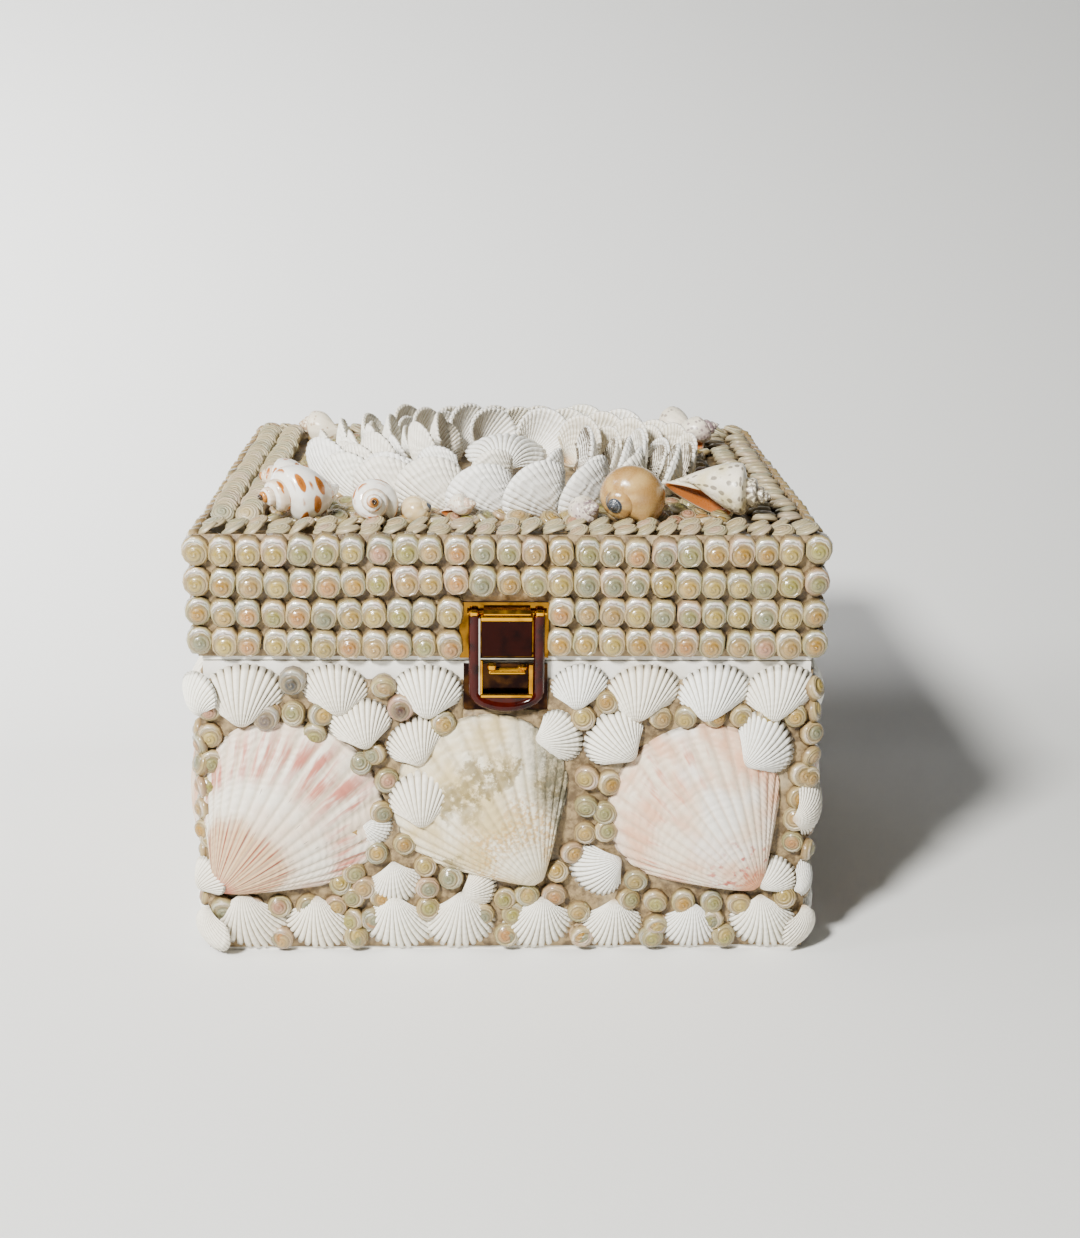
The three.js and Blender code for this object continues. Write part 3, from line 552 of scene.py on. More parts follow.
def scallop_surface(add, here, colour, reach, blotch, painted_shade_in_grooves, roughened=None):
    """Painted shade that darkens the grooves a little, growth lines, pits, and a roughened zone if there is
    one.
    """
    # painted shade: the grooves between the ribs are darkened
    colour = add("mix", add("step", add("relief"), 0.8, 0.0, 0, 0.55), colour, painted_shade_in_grooves)
    lines = add("sine", add("times_plus", reach, 150, add("times", blotch, 22)))
    pits = add("noise", here, of_size(0.6), Detail=4, Roughness=0.7)
    normal = add("bump", Height=lines, Distance=0.07 * MM,
                 Normal=add("bump", Height=pits, Distance=0.06 * MM))
    if roughened is not None:
        flakes = add("noise", here, of_size(2.4), Detail=6, Roughness=0.75)
        colour = add("mix", add("times", roughened, add("step", flakes, 0.35, 0.6)), colour, "#7b745a")
        normal = add("bump", Height=add("times", roughened, flakes), Distance=2.2 * MM, Normal=normal)
    return colour, add("step", pits, 0.3, 0.7, 0.4, 0.58), normal


def rose_scallop(add, here):
    """Cream shell with streaks of coral in a ring, and thin dark lines along its inner ribs."""
    across, reach, drawn, flame, blotch = scallop_maps(add, here)
    wobble = add("times_plus", blotch, 0.3, add("minus", reach, 0.15))
    colour = add("mix", add("step", blotch, 0.35, 0.7), "#eee6d6", "#e4cdb6")
    streaks = add("times", band(add, wobble, 0.66, 0.9, 0.1), add("step", flame, 0.4, 0.6))
    streaks = add("times", streaks, add("step", across, 0.02, 0.2, 0.3, 1))
    colour = add("mix", add("times", streaks, 0.9), colour, "#b9604c")
    inner = add("step", wobble, 0.5, 0.36)
    colour = add("mix", add("times", inner, 0.85), colour, "#cfa878")
    fine = add("step", add("sine", add("times", across, 210)), -0.1, 0.7)
    colour = add("mix", add("times", inner, add("times", fine, add("step", flame, 0.35, 0.6, 0.25, 0.95))),
                 colour, "#84301f")
    colour = add("mix", add("step", reach, 0.17, 0.08, 0, 0.8), colour, "#b0564a")
    speck = add("step", add("cells", drawn, 2.2), 0.14, 0.06)
    colour = add("mix", add("times", speck, band(add, wobble, 0.4, 0.62)), colour, "#7d6a5c")
    return scallop_surface(add, here, colour, reach, blotch, "#bfae94")


def cream_scallop(add, here):
    """Cream shell mottled with olive in a ring, grainy towards the beak, flaked at one edge."""
    across, reach, _, flame, blotch = scallop_maps(add, here)
    wobble = add("times_plus", blotch, 0.5, add("minus", reach, 0.25))
    colour = add("mix", add("step", blotch, 0.35, 0.65), "#ebe2cb", "#cfba88")
    mottle = add("times", add("noise", here, of_size(3.2), Detail=5, Roughness=0.7),
                 add("step", add("noise", here, of_size(17), Detail=2), 0.42, 0.6, 0.5, 1.25))
    olive = add("times", band(add, wobble, 0.56, 0.76, 0.08), add("step", mottle, 0.5, 0.66))
    colour = add("mix", add("times", olive, 0.85), colour, "#776636")
    grains = add("times", band(add, wobble, 0.22, 0.5),
                 add("step", add("noise", here, of_size(1.2), Detail=4), 0.4, 0.6))
    colour = add("mix", add("times", grains, 0.8), colour, "#bf9654")
    colour = add("mix", add("times", add("step", flame, 0.5, 0.7), add("step", reach, 0.6, 0.8, 0, 0.5)),
                 colour, "#b5a47c")
    broken = add("times", add("step", across, 0.36, 0.18), add("step", reach, 0.42, 0.6))
    return scallop_surface(add, here, colour, reach, blotch, "#a8956c", broken)


def peach_scallop(add, here):
    """Pale shell with peach flames, white patches and coral spots near an orange beak."""
    _, reach, _, flame, blotch = scallop_maps(add, here)
    wobble = add("times_plus", blotch, 0.4, add("minus", reach, 0.2))
    colour = add("mix", add("step", blotch, 0.38, 0.66), "#ead9c2", "#dfae8c")
    colour = add("mix", add("times", add("step", flame, 0.5, 0.7), band(add, wobble, 0.6, 0.88, 0.12)),
                 colour, "#c98062")
    colour = add("mix", add("step", add("noise", here, of_size(24)), 0.5, 0.66, 0, 0.75), colour, "#efece4")
    spots = add("times", add("step", add("noise", here, of_size(2.8), Detail=4), 0.52, 0.64),
                band(add, wobble, 0.1, 0.34))
    colour = add("mix", add("times", spots, 0.9), colour, "#b84f40")
    colour = add("mix", add("step", reach, 0.22, 0.1, 0, 0.8), colour, "#d98d5c")
    return scallop_surface(add, here, colour, reach, blotch, "#cbb196")


scallop_rose = finish("coral_streaked_scallop", rose_scallop, specular_ior_level=0.45)
scallop_peach = finish("peach_scallop", peach_scallop, specular_ior_level=0.45)
scallop_cream = finish("cream_scallop", cream_scallop, specular_ior_level=0.45)

# %% Scallops in place
SCALLOP_FINISH = {"left": scallop_rose, "middle": scallop_cream, "right": scallop_peach}
for face in FACES:
    for seat, (u, v, direction) in SCALLOPS[face].items():
        size = 1.06 if seat == "left" else 1.0
        place = on_face(face, u, v, BED + GAP, direction)
        shell = copy_to(scallop, place @ Matrix.Diagonal((size, size, 1, 1)))
        node, slot = f"{face}_{seat}_scallop", "scallop_cream" if seat == "middle" else "scallop_pink"
        put_together(f"{node}_shell", [shell], SCALLOP_FINISH[seat], "box", [node])

# %% [markdown]
# ## Button shells
# Button shells are small flat-coiled top shells, about 8 mm across. Glued spire outwards they show a round
# spire with fine turns, a little below the middle, and above it the last whorl, which is broad and pearly.
# Hundreds are needed, so one has only a few dozen faces: rings round the spire, and a superellipse for its
# outline.

# %% A button shell
def button_rule(width, length, height, drop, spire, squareness, profile):
    """Rings from the spire's tip to the foot. Each has how far out it lies, 0 to 1 on the spire and 1 to 2 on
    the last whorl, and its share of the height."""
    def rule(u, v):
        step = round(v * len(profile))
        if step == len(profile):
            return (0, 0, 0), 1
        out, tall = profile[step]
        c, s = math.cos(2 * math.pi * u), math.sin(2 * math.pi * u)
        square = (abs(c) ** squareness + abs(s) ** squareness) ** (-1 / squareness)
        edge = Vector((length / 2 * c * square, width / 2 * s * square))
        ring = Vector((spire * c - drop, spire * s))
        place = ring.lerp(edge, out - 1) if out > 1 else Vector((-drop, 0)).lerp(ring, out)
        tall += 0.12 * c * max(0.0, 1 - abs(out - 1.45) / 0.5) * (out > 1)
        return (place.x, place.y, height * tall), out / 2
    return rule


UPRIGHT = [(0, 1), (0.7, 0.9), (1, 0.68), (1.3, 0.8), (1.8, 0.63), (2, 0.0)]
FLAT = [(0, 1), (0.6, 0.93), (1, 0.72), (1.4, 0.72), (1.8, 0.48), (2, 0.0)]
button = grow("button", 12, 6, button_rule(8.9, 10.4, 4.4, 1.5, 3.3, 3.2, UPRIGHT))
disc = grow("disc", 12, 6, button_rule(9.0, 9.6, 3.9, 0.7, 2.9, 2.1, FLAT))
coin = grow("coin", 12, 6, button_rule(9.4, 9.6, 2.4, 0.5, 3.0, 2.0, FLAT))
print("button", len(button.data.polygons), "faces")

# %% [markdown]
# The finish reads the button's own map: u runs round the spire and v outwards. A line that winds outwards as
# it goes round draws the suture, and the upper side of the last whorl is mixed towards white pearl, as a
# painted highlight of nacre.

# %% Pearly button, with a painted highlight
def button_with_painted_highlight(shine, pale=0.0):
    """Worn top shell: a brown skin rubbed through to silvery nacre, which is painted on the upper side of the
    last whorl as a painted highlight. Shine is how strongly that painted highlight shows, and pale how far
    the whole is bleached."""
    def build(add, here):
        around, _ = uv_of(add)
        out = add("times", add("relief"), 2)
        winding = add("fraction", add("times_plus", out, 2.2, around))
        suture = add("step", add("size", add("minus", winding, 0.5)), 0.12, 0.42)
        mottle = add("noise", here, of_size(1.3))
        tint, core = add("tint"), add("core")
        body = add("mix", add("step", add("noise", here, of_size(3.5)), 0.4, 0.65, 0, 0.5), tint, "#ae9a6a")
        spire = add("mix", add("step", mottle, 0.45, 0.8, 0, 0.2), core, "#cfc094")
        spire = add("mix", add("step", out, 0.4, 1.0, 0, 0.35), spire, "#b5a67c")
        colour = add("mix", add("step", out, 0.85, 1.15), spire, body)
        colour = add("mix", add("times", suture, 0.26), colour, "#7a6543")
        # painted shade: a dark ring in the groove round the spire
        rim = add("times", add("step", out, 0.75, 0.97), add("step", out, 1.2, 1.03))
        colour = add("mix", add("times", rim, 0.6), colour, "#6f5a3a")
        # painted highlight: nacre painted on the upper side of the last whorl, where the light from above
        # falls
        upward = add("cosine", add("times", around, 2 * math.pi))
        top_highlight = add("times", add("step", upward, 0.3, 0.85), add("step", out, 1.12, 1.28))
        top_highlight = add("times", top_highlight, add("step", out, 1.74, 1.5))
        nacre = add("mix", add("step", add("noise", here, of_size(2.2)), 0.4, 0.6), "#e6d8d8", "#d2d8ce")
        # the real lines in nacre are finer than this: they are drawn as coarse as they need to be to show
        streak = add("sine", add("times_plus", out, 17, add("times", mottle, 7)))
        nacre = add("mix", add("step", streak, -0.2, 0.8, 0, 0.85), nacre, "#6e6862")
        colour = add("mix", add("times", top_highlight, shine), colour, nacre)
        # painted shade: the foot of each button, where it meets its neighbours and the glue, is darkened
        colour = add("mix", add("step", out, 1.72, 1.98, 0, 0.75), colour, "#7a6040")
        colour = add("mix", pale, colour, "#d5d0b4")
        rough = add("step", mottle, 0.3, 0.7, 0.42 - 0.25 * shine, 0.6 - 0.25 * shine)
        normal = add("bump", Height=suture, Distance=0.2 * MM,
                     Normal=add("bump", Height=mottle, Distance=0.08 * MM))
        return colour, rough, normal
    return build


highlit_pearl_button = finish("button_shell_with_painted_highlight", button_with_painted_highlight(0.75), coat_weight=0.7, coat_roughness=0.1,
                      specular_ior_level=0.7)
disc_button = finish("glossy_button_shell", button_with_painted_highlight(0.35), coat_weight=0.5, coat_roughness=0.15)
matt_button = finish("dull_button_shell", button_with_painted_highlight(0.25, pale=0.25), coat_weight=0.25,
                     coat_roughness=0.3)

# %% [markdown]
# ## Rows of button shells round the lid
# Four rows stand one above another on each side of the lid, spire outwards and the pearly last whorl upwards.
# Behind, the hinges take the place of the lowest row.

# %% Button colours
BUTTON_TINTS = ["#a89262", "#9c8654", "#b6a276", "#958c62", "#a68e62", "#ac8e70", "#888466", "#a09266"]
BUTTON_CORES = ["#98701f", "#9c7c34", "#827a36", "#9e873e", "#9c6a30", "#7a7544", "#927b36", "#6f7054",
                "#967640", "#a07258"]


def lay_button(place, grow_by, tilt, shape):
    """A copy of a button shell, turned, tilted and sized a little by chance."""
    wobble = Matrix.Rotation(math.radians(chance.uniform(-13, 13)), 4, "Z")
    wobble = wobble @ Matrix.Rotation(math.radians(chance.uniform(-tilt, tilt)), 4, "X")
    wobble = wobble @ Matrix.Rotation(math.radians(chance.uniform(-tilt, tilt)), 4, "Y")
    wobble = wobble @ Matrix.Scale(grow_by * chance.uniform(0.93, 1.04), 4)
    tint = shade(chance.choice(BUTTON_TINTS), 0.1)
    core = shade(chance.choice(BUTTON_CORES), 0.12)
    return copy_to(shape, place @ wobble, tint, core)

# %% Rows in place
ROWS, ROW_PITCH, ROW_FOOT = 4, 10.3, LID_BOTTOM + 1.4
CLASP_SPAN, CLASP_TOP = (-15.2, 13.0), 123.8
LID_GLUE, LID_GLUE_TOP = 0.7, 145.8
BUTTON_PITCH, BUTTON_WIDTH = 8.45, 8.2


def lid_row_buttons(face):
    """The rows on one side of the lid. In front they stop at the clasp, and corners end in round shells."""
    long = face in ("front", "back")
    reach = HALF + 4.4 if long else HALF - GAP
    shells = []
    for row in range(1 if face == "back" else 0, ROWS):
        v = ROW_FOOT + (row + 0.5) * ROW_PITCH
        spans = [(-reach, reach)]
        if face == "front" and v < CLASP_TOP + 3:
            spans = [(-reach, CLASP_SPAN[0]), (CLASP_SPAN[1], reach)]
        for low, high in spans:
            columns = round((high - low) / BUTTON_PITCH)
            pitch = (high - low) / columns
            for column in range(columns):
                u = low + (column + 0.5) * pitch
                at_end = long and abs(u) > reach - 6
                shifted, wavy = u + chance.uniform(-0.35, 0.35), v + 0.5 * math.sin(u / 23 + row)
                place = on_face(face, shifted, wavy, HALF + GAP + 0.2)
                size, shape = (1.06, disc) if at_end else (pitch / BUTTON_WIDTH, button)
                shells.append(lay_button(place, size, 6, shape))
    return shells


def lid_glue(face):
    wide = glue_reach(face)
    foot = ROW_FOOT + (ROW_PITCH if face == "back" else 0)
    spans = [(-wide, wide, foot)]
    if face == "front":
        spans = [(-wide, CLASP_SPAN[0], foot), (*CLASP_SPAN, CLASP_TOP), (CLASP_SPAN[1], wide, foot)]
    return [coat_of_glue(face, (low, high), (end, LID_GLUE_TOP), LID_GLUE) for low, high, end in spans]


for face in FACES:
    put_together(f"lid_{face}_glue", lid_glue(face), glue_and_shade_finish, "lid", [f"lid_{face}_button_rows"])
for face in FACES:
    shells = lid_row_buttons(face)
    put_together(f"lid_{face}_row_of_buttons", shells, highlit_pearl_button, "lid", [f"lid_{face}_button_rows"])

# %% Chains of buttons on the faces
CHAIN_SPACING = 9.4
FRONT_CHAINS = [
    [(-79, 85.4), (-62, 85.2)], [(-98, 87), (-99, 42)], [(-44, 71.5), (-40.5, 62), (-42.6, 51)],
    [(-51.5, 43), (-44, 36), (-52, 29), (-43, 20.3)], [(-96, 16.5), (-58, 17)],
    [(-27, 23.5), (-18.5, 14), (2, 14)], [(26.9, 63), (26.3, 43.3), (17, 29), (16, 21)],
    [(25, 84), (33, 89.4)], [(50.1, 84.4), (95.2, 85.1)], [(41, 18.9), (79, 17.5)], [(98, 64), (96.6, 40)],
]
FRONT_CHAINS += [[at, at] for at in [
    (-41, 95), (-21.6, 82.4), (6.7, 20.9), (-46, 12.4), (50.6, 9.7), (24.5, 14.5), (-76.5, 5.5),
    (-51.7, 5.6), (0, 6), (25.5, 5.6), (49.4, 5.4), (74, 5.6), (-65, 11), (70, 12)]]
ODD_BUTTONS = {(-70.6, 97): ("#7b7a74", "#2c2c2e"), (-35.2, 88): ("#a8806e", "#3a1a12"),
               (-79.5, 84.6): ("#8d857c", "#5a4c46")}
PLAIN_CHAINS = [[(x, 78), (x, 26)] for x in (-95, -33, 33, 95)]


def along_chain(corners):
    """Evenly spaced spots on the straight stretches between the corners."""
    points = []
    for i, (a, b) in enumerate(zip(corners, corners[1:])):
        a, b = Vector(a), Vector(b)
        steps = max(1, round((b - a).length / CHAIN_SPACING))
        points += [a.lerp(b, k / steps) for k in range(1 if i else 0, steps + 1)]
    return points


def gap_fillers(face, taken, tries=1500, radius=3.6):
    """Places for small buttons wherever the circles already taken leave room."""
    found = []
    side, foot, top = 97, 4.5, 72 if face == "back" else 84
    for _ in range(tries):
        u, v = chance.uniform(-side, side), chance.uniform(foot, top)
        on_clasp = face == "front" and -19 < u < 17 and v > 82
        if not on_clasp and all(math.hypot(u - x, v - y) > r + radius - 2.1 for x, y, r in taken):
            taken.append((u, v, radius))
            found.append(Vector((u, v)))
    return found


def taken_circles(face, chains):
    """Circles that cover the cockles, the chains and the scallops, each as u, v and radius."""
    circles = [(u, v, 0.5 * width) for u, v, width, *_ in COCKLES[face]]
    circles += [(spot.x, spot.y, 4.3) for spot in chains]
    for u, v, direction in SCALLOPS[face].values():
        turn = math.radians(direction)
        for out, radius in ((36, 29), (16, 14), (5, 7)):
            circles.append((u + out * math.cos(turn), v + out * math.sin(turn), radius))
    return circles


for face in FACES:
    routes = FRONT_CHAINS if face == "front" else PLAIN_CHAINS
    chains = [spot for route in routes for spot in along_chain(route)]
    fillers = gap_fillers(face, taken_circles(face, chains))
    spots = chains + fillers
    print(face, len(chains), "buttons in chains,", len(fillers), "in the gaps")
    shells = [lay_button(on_face(face, x, z, BED - SINK, chance.uniform(0, 360)), 0.95, 16, disc)
              for x, z in spots]
    if face == "front":
        for (u, v), (tint, core) in ODD_BUTTONS.items():
            place = on_face(face, u, v, BED - SINK + 0.6, 60)
            shells.append(copy_to(disc, place @ Matrix.Scale(1.05, 4), tint, core))
    put_together(f"{face}_buttons", shells, disc_button, "box", [f"{face}_cockles_and_buttons"])

# %% [markdown]
# The shells at the four upright corners of the box face outwards, so that from each side they show as a bumpy
# edge.

# %% Corners of the box
CORNER_OUT, CORNER_FOOT, CORNER_STEP, CORNER_GAP = 0.8, 7, 6.2, 1.5
CORNER_TOP = {0: 94.0, 1: 88.0, 2: 88.0, 3: 94.0}  # lower behind, where the hinges are


def corner_place(corner, height, direction, back=0.0):
    """A place on the upright corner that is this many quarter turns from the front right one."""
    out = Vector((1, -1, 0)).normalized()
    sideways = Vector((1, 1, 0)).normalized()
    turn = math.radians(direction)
    along = sideways * math.cos(turn) + Vector((0, 0, math.sin(turn)))
    seat = Vector((HALF + CORNER_OUT, -HALF - CORNER_OUT, height)) - along * back
    return Matrix.Rotation(math.radians(90 * corner), 4, "Z") @ frame_at(seat, along, out)


CORNER_COCKLES = {  # at each corner, from the front right one: height, width and direction
    0: [(51, 19, 8), (25.5, 13, 20), (9, 17, -90)],
    3: [(92, 17, 90), (28, 15, 60), (9.4, 17, -90)],
    1: [(60, 18, 90), (9.4, 17, -90)],
    2: [(44, 18, 90), (9.4, 17, -90)],
}
shells, discs = [], []
for corner, cockles in CORNER_COCKLES.items():
    for height, width, direction in cockles:
        place = corner_place(corner, height, direction, width * COCKLE["ratio"] / 2)
        shells.append(lay_cockle("front", 0, 0, width, direction, 0, on=place))
    height = CORNER_TOP[corner]
    while height > CORNER_FOOT:
        if all(abs(height - middle) > width / 2 + 2 for middle, width, _ in cockles):
            discs.append(lay_button(corner_place(corner, height, chance.uniform(0, 360)), 0.9, 22, disc))
            height -= CORNER_GAP
        height -= CORNER_STEP
faces = [f"{face}_cockles_and_buttons" for face in FACES]
put_together("corner_cockles", shells, chalk, "box", faces)
put_together("corner_buttons", discs, disc_button, "box", faces)

# %% [markdown]
# On top of the lid two rows of flat shells lie overlapping like tiles: low in front and behind, and packed
# nearly on edge down the two sides.

# %% Borders on top of the lid
BORDER_WIDTH, BORDER_START = 9.7, 4.6
# pitch in mm and lean in degrees
BORDERS = {"front": (7.4, -22), "back": (7.4, -22), "left": (4.3, 50), "right": (6.8, 20)}
for face, (pitch, lean) in BORDERS.items():
    reach = HALF - 3 if face in ("front", "back") else HALF - 4 - 2 * BORDER_WIDTH
    columns = round(2 * reach / pitch)
    shells = []
    for row in range(2):
        for column in range(columns + 1):
            u = column * 2 * reach / columns - reach
            height = LID_TOP + 1.2 + abs(math.sin(math.radians(lean))) * 3.4
            x = u + chance.uniform(-0.7, 0.7)
            y = -HALF + BORDER_START + row * (BORDER_WIDTH - 0.6) + chance.uniform(-0.6, 0.6)
            z = height + chance.uniform(-0.4, 0.3)
            turned = math.radians(lean + chance.uniform(-11, 11))
            tip = (math.sin(turned), chance.uniform(-0.16, 0.16), math.cos(turned))
            place = side_turn(face) @ frame_at((x, y, z), (0, 1, 0), tip)
            shells.append(lay_button(place, 0.94, 5, coin))
    put_together(f"lid_top_{face}_border_buttons", shells, matt_button, "lid", [f"lid_top_{face}_border"])

# %% Glue on top of the lid
def lid_glue_rule(u, v):
    x, y = (2 * u - 1) * (HALF - GAP), (2 * v - 1) * (HALF - GAP)
    return (x, y, LID_TOP + GLUE + 0.15 * unevenness(Vector((x, y, 9)) / LUMP_SIZE)), 0


bed = grow("glue", 50, 50, lid_glue_rule, closed=False)
give_wall(bed, 0.6)
put_together("lid_top_glue", [bed], glue_and_shade_finish, "lid", ["lid_field_buttons"])

# %% Buttons between border and rosette
FIELD_CHAINS = [[(-8, -74.5), (14, -74.5)], [(74.5, -52), (74.5, 32)], [(50, 74.5), (-48, 74.5)],
                [(-74.5, 52), (-74.5, -34)]]
FIELD_EDGE, ROSETTE_EDGE, TRIES = 79, 63, 2600
shells, taken = [], []


def strewn_place(x, y, height, turned, tip):
    """A place on the lid's board, turned about the upright and with the spire towards the tip."""
    return frame_at((x, y, LID_TOP + GAP + height), (math.cos(turned), math.sin(turned), 0), tip)


for chain in FIELD_CHAINS:
    for x, y in along_chain(chain):
        shells.append(lay_button(strewn_place(x, y, GLUE, x, (0.1, -0.2, 1)), 0.95, 20, disc))
        taken.append((x, y, 4))
for _ in range(TRIES):
    x, y = chance.uniform(-FIELD_EDGE, FIELD_EDGE), chance.uniform(-FIELD_EDGE - 0.5, FIELD_EDGE)
    if math.hypot(x, y) > ROSETTE_EDGE and all(math.hypot(x - a, y - b) > r + 2.2 for a, b, r in taken):
        taken.append((x, y, 3.6))
        turned = chance.uniform(0, 6.28)
        tip = (chance.uniform(-0.4, 0.4), chance.uniform(-0.5, 0.2), 1)
        shells.append(lay_button(strewn_place(x, y, 0.6, turned, tip), 0.86, 14, disc))
put_together("lid_strewn_buttons", shells, disc_button, "lid", ["lid_field_buttons"])

# %% [markdown]
# ## The rosette
# The petals are open cockle valves that stand on their umbos with the dome outwards, in three rings. Each
# leans out, rolls a little in its own plane and laps the next one. Being open they need a wall, which
# Solidify gives: it grows inwards, so the outer face stays where the growth rule put it.

# %% A petal
petal_size = dict(PETAL, length=MASTER_WIDTH, width=MASTER_WIDTH)
petal = ribbed_valve("petal", petal_size, ribs=21, per_rib=4, rings=12, groove=0.75, sharpness=0.45,
                     smallest=0.09, glued=False)
middle_face = petal.data.polygons[len(petal.data.polygons) // 2]
if middle_face.normal.z < 0:
    start_editing(petal, everything=True)
    bpy.ops.mesh.flip_normals()
    deselect()
give_wall(petal, 0.9)
print("petal", len(petal.data.polygons), "faces")

# %% Rings of petals
PETAL_RINGS = {
    "outer": dict(count=23, base=59.5, lift=1.4, width=21.5, lean=24, roll=38, lap=16),
    "middle": dict(count=16, base=43, lift=3.4, width=21, lean=18, roll=38, lap=16),
    "inner": dict(count=9, base=25.5, lift=4.4, width=21, lean=14, roll=34, lap=16),
    "filling": dict(count=19, base=51, lift=2.6, width=18.5, lean=24, roll=38, lap=14),
    "inner_filling": dict(count=13, base=34.5, lift=3.0, width=18, lean=22, roll=36, lap=14),
}
FRONT_SIZE, FRONT_LIFT, FRONT_ROLL = 1.14, 1.5, 12
LOW_SIZE, LOW_LEAN = 0.8, 16
STANDS_FOR = {"filling": "middle", "inner_filling": "inner"}
WEATHERED = ["#8a8176", "#7b7268", "#9a9188"]


def white_petal(add, here):
    """Clean white cockle: painted darker in the grooves between its ribs as painted shade, yellow at the
    beak, grey where weather got at it.
    """
    _, ring = uv_of(add)
    wobble = add("noise", here, of_size(8), Detail=4)
    lines = add("sine", add("times_plus", ring, 70, add("times", wobble, 16)))
    # painted shade: the grooves between the ribs are darkened
    colour = add("mix", add("step", add("relief"), 0.0, 0.7), "#d6cebd", "#faf8f2")
    colour = add("mix", add("step", lines, 0.5, 1, 0, 0.2), colour, "#d8d1c2")
    stain = add("times", add("step", ring, 0.55, 0.1), add("step", wobble, 0.3, 0.6))
    colour = add("mix", add("times", stain, 0.85), colour, "#c4a06c")
    drawn = add("times", add("step", add("relief"), 0.95, 0.5),
                add("step", add("noise", here, of_size(2.6), Detail=4, Roughness=0.7), 0.36, 0.5))
    colour = add("mix", drawn, colour, add("mix", 1.0, colour, add("core"), blend_type="MULTIPLY"))
    colour = add("mix", 1.0, colour, add("tint"), blend_type="MULTIPLY")
    pits = add("noise", here, of_size(0.6), Detail=4, Roughness=0.7)
    normal = add("bump", Height=lines, Distance=0.08 * MM,
                 Normal=add("bump", Height=pits, Distance=0.05 * MM))
    return colour, add("step", pits, 0.3, 0.7, 0.4, 0.6), normal


petal_white = finish("white_petal_shell", white_petal)


def ring_of_petals(count, base, lift, width, lean, roll, lap):
    """Petals round a circle. Those in front are larger and rolled more, and smaller in the inner rings, so
    that the middle shows over them."""
    petals = []
    for i in range(count):
        around = math.radians(360 * i / count - 90)
        in_front = math.sin(around) < -0.45
        low = base < 50 and in_front
        size = width * (LOW_SIZE if low else FRONT_SIZE if in_front else 1) * chance.uniform(0.95, 1.0)
        tilt = math.radians(lean + (LOW_LEAN if low else 0) + chance.uniform(-4, 4))
        out = Vector((math.cos(around), math.sin(around), 0))
        along = Vector((0, 0, 1)) * math.cos(tilt) + out * math.sin(tilt)
        dome = along.cross(out).cross(along)
        dome.rotate(Matrix.Rotation(math.radians(lap + chance.uniform(-6, 6)), 3, along))
        rolled = math.radians(roll + (FRONT_ROLL if in_front else 0) + chance.uniform(-7, 7))
        along.rotate(Matrix.Rotation(rolled, 3, dome))
        foot = Vector((0, 0, LID_TOP + GAP + lift + (FRONT_LIFT if in_front else 0)))
        place = frame_at(out * base + foot, along, dome)
        front_right = math.cos(around + math.radians(38)) > 0.8
        core = chance.choice(WEATHERED) if front_right else "#f2efe9"
        tint = shade(chance.choice(["#ffffff", "#fffdf8", "#faf6ee"]), 0.02)
        petals.append(copy_to(petal, place @ Matrix.Scale(size / MASTER_WIDTH, 4), tint, core))
    return petals


for ring, sizes in PETAL_RINGS.items():
    node = f"rosette_{STANDS_FOR.get(ring, ring)}_petals"
    put_together(f"rosette_{ring}_ring", ring_of_petals(**sizes), petal_white, "lid", [node])

# %% The cockle in the middle
centre = ribbed_valve("centre", CENTRE, ribs=19, per_rib=6, rings=16, groove=1.3, sharpness=0.55)
along = Vector((0.08, 0.93, 0.35)).normalized()
shell = copy_to(centre, frame_at((-1, -10.5, LID_TOP + GAP + 5), along, (0, -0.35, 0.93)))
put_together("rosette_middle_cockle", [shell], chalk, "lid", ["rosette_centre_cockle"])

# %% [markdown]
# ## Sea snails
# A snail grows by the same rule as a valve, but it winds round its axis while it grows: the outline of its
# mouth goes round and round, larger each time, and always as far from the tip as its size asks. The outlines
# are given as (radius, distance from the tip) for the last whorl, and each earlier whorl is a smaller copy of
# it.

# %% Rule of a snail
STEPS_PER_TURN = 22
SNAIL_KINDS = {
    "babylon": dict(tip=1.62, whorl=1.72, turns=5, mouth=[
        (0.50, 0.92), (0.66, 0.98), (0.90, 1.14), (0.96, 1.42), (0.94, 1.75), (0.80, 2.12), (0.52, 2.46),
        (0.24, 2.70), (0.08, 2.68), (0.06, 2.30), (0.14, 1.80), (0.22, 1.35), (0.34, 1.02)]),
    "moon": dict(tip=1.0, whorl=1.95, turns=5, mouth=[
        (0.36, 0.36), (0.62, 0.46), (0.88, 0.70), (1.0, 1.10), (0.94, 1.45), (0.72, 1.78), (0.40, 1.96),
        (0.14, 1.92), (0.08, 1.60), (0.14, 1.10), (0.20, 0.70), (0.26, 0.44)]),
    "conch": dict(tip=1.6, whorl=1.75, turns=5, mouth=[
        (0.52, 0.98), (0.68, 1.04), (0.94, 1.14), (0.98, 1.36), (0.88, 1.80), (0.66, 2.30), (0.38, 2.80),
        (0.16, 3.08), (0.06, 3.02), (0.06, 2.50), (0.14, 1.90), (0.22, 1.40), (0.36, 1.06)]),
}


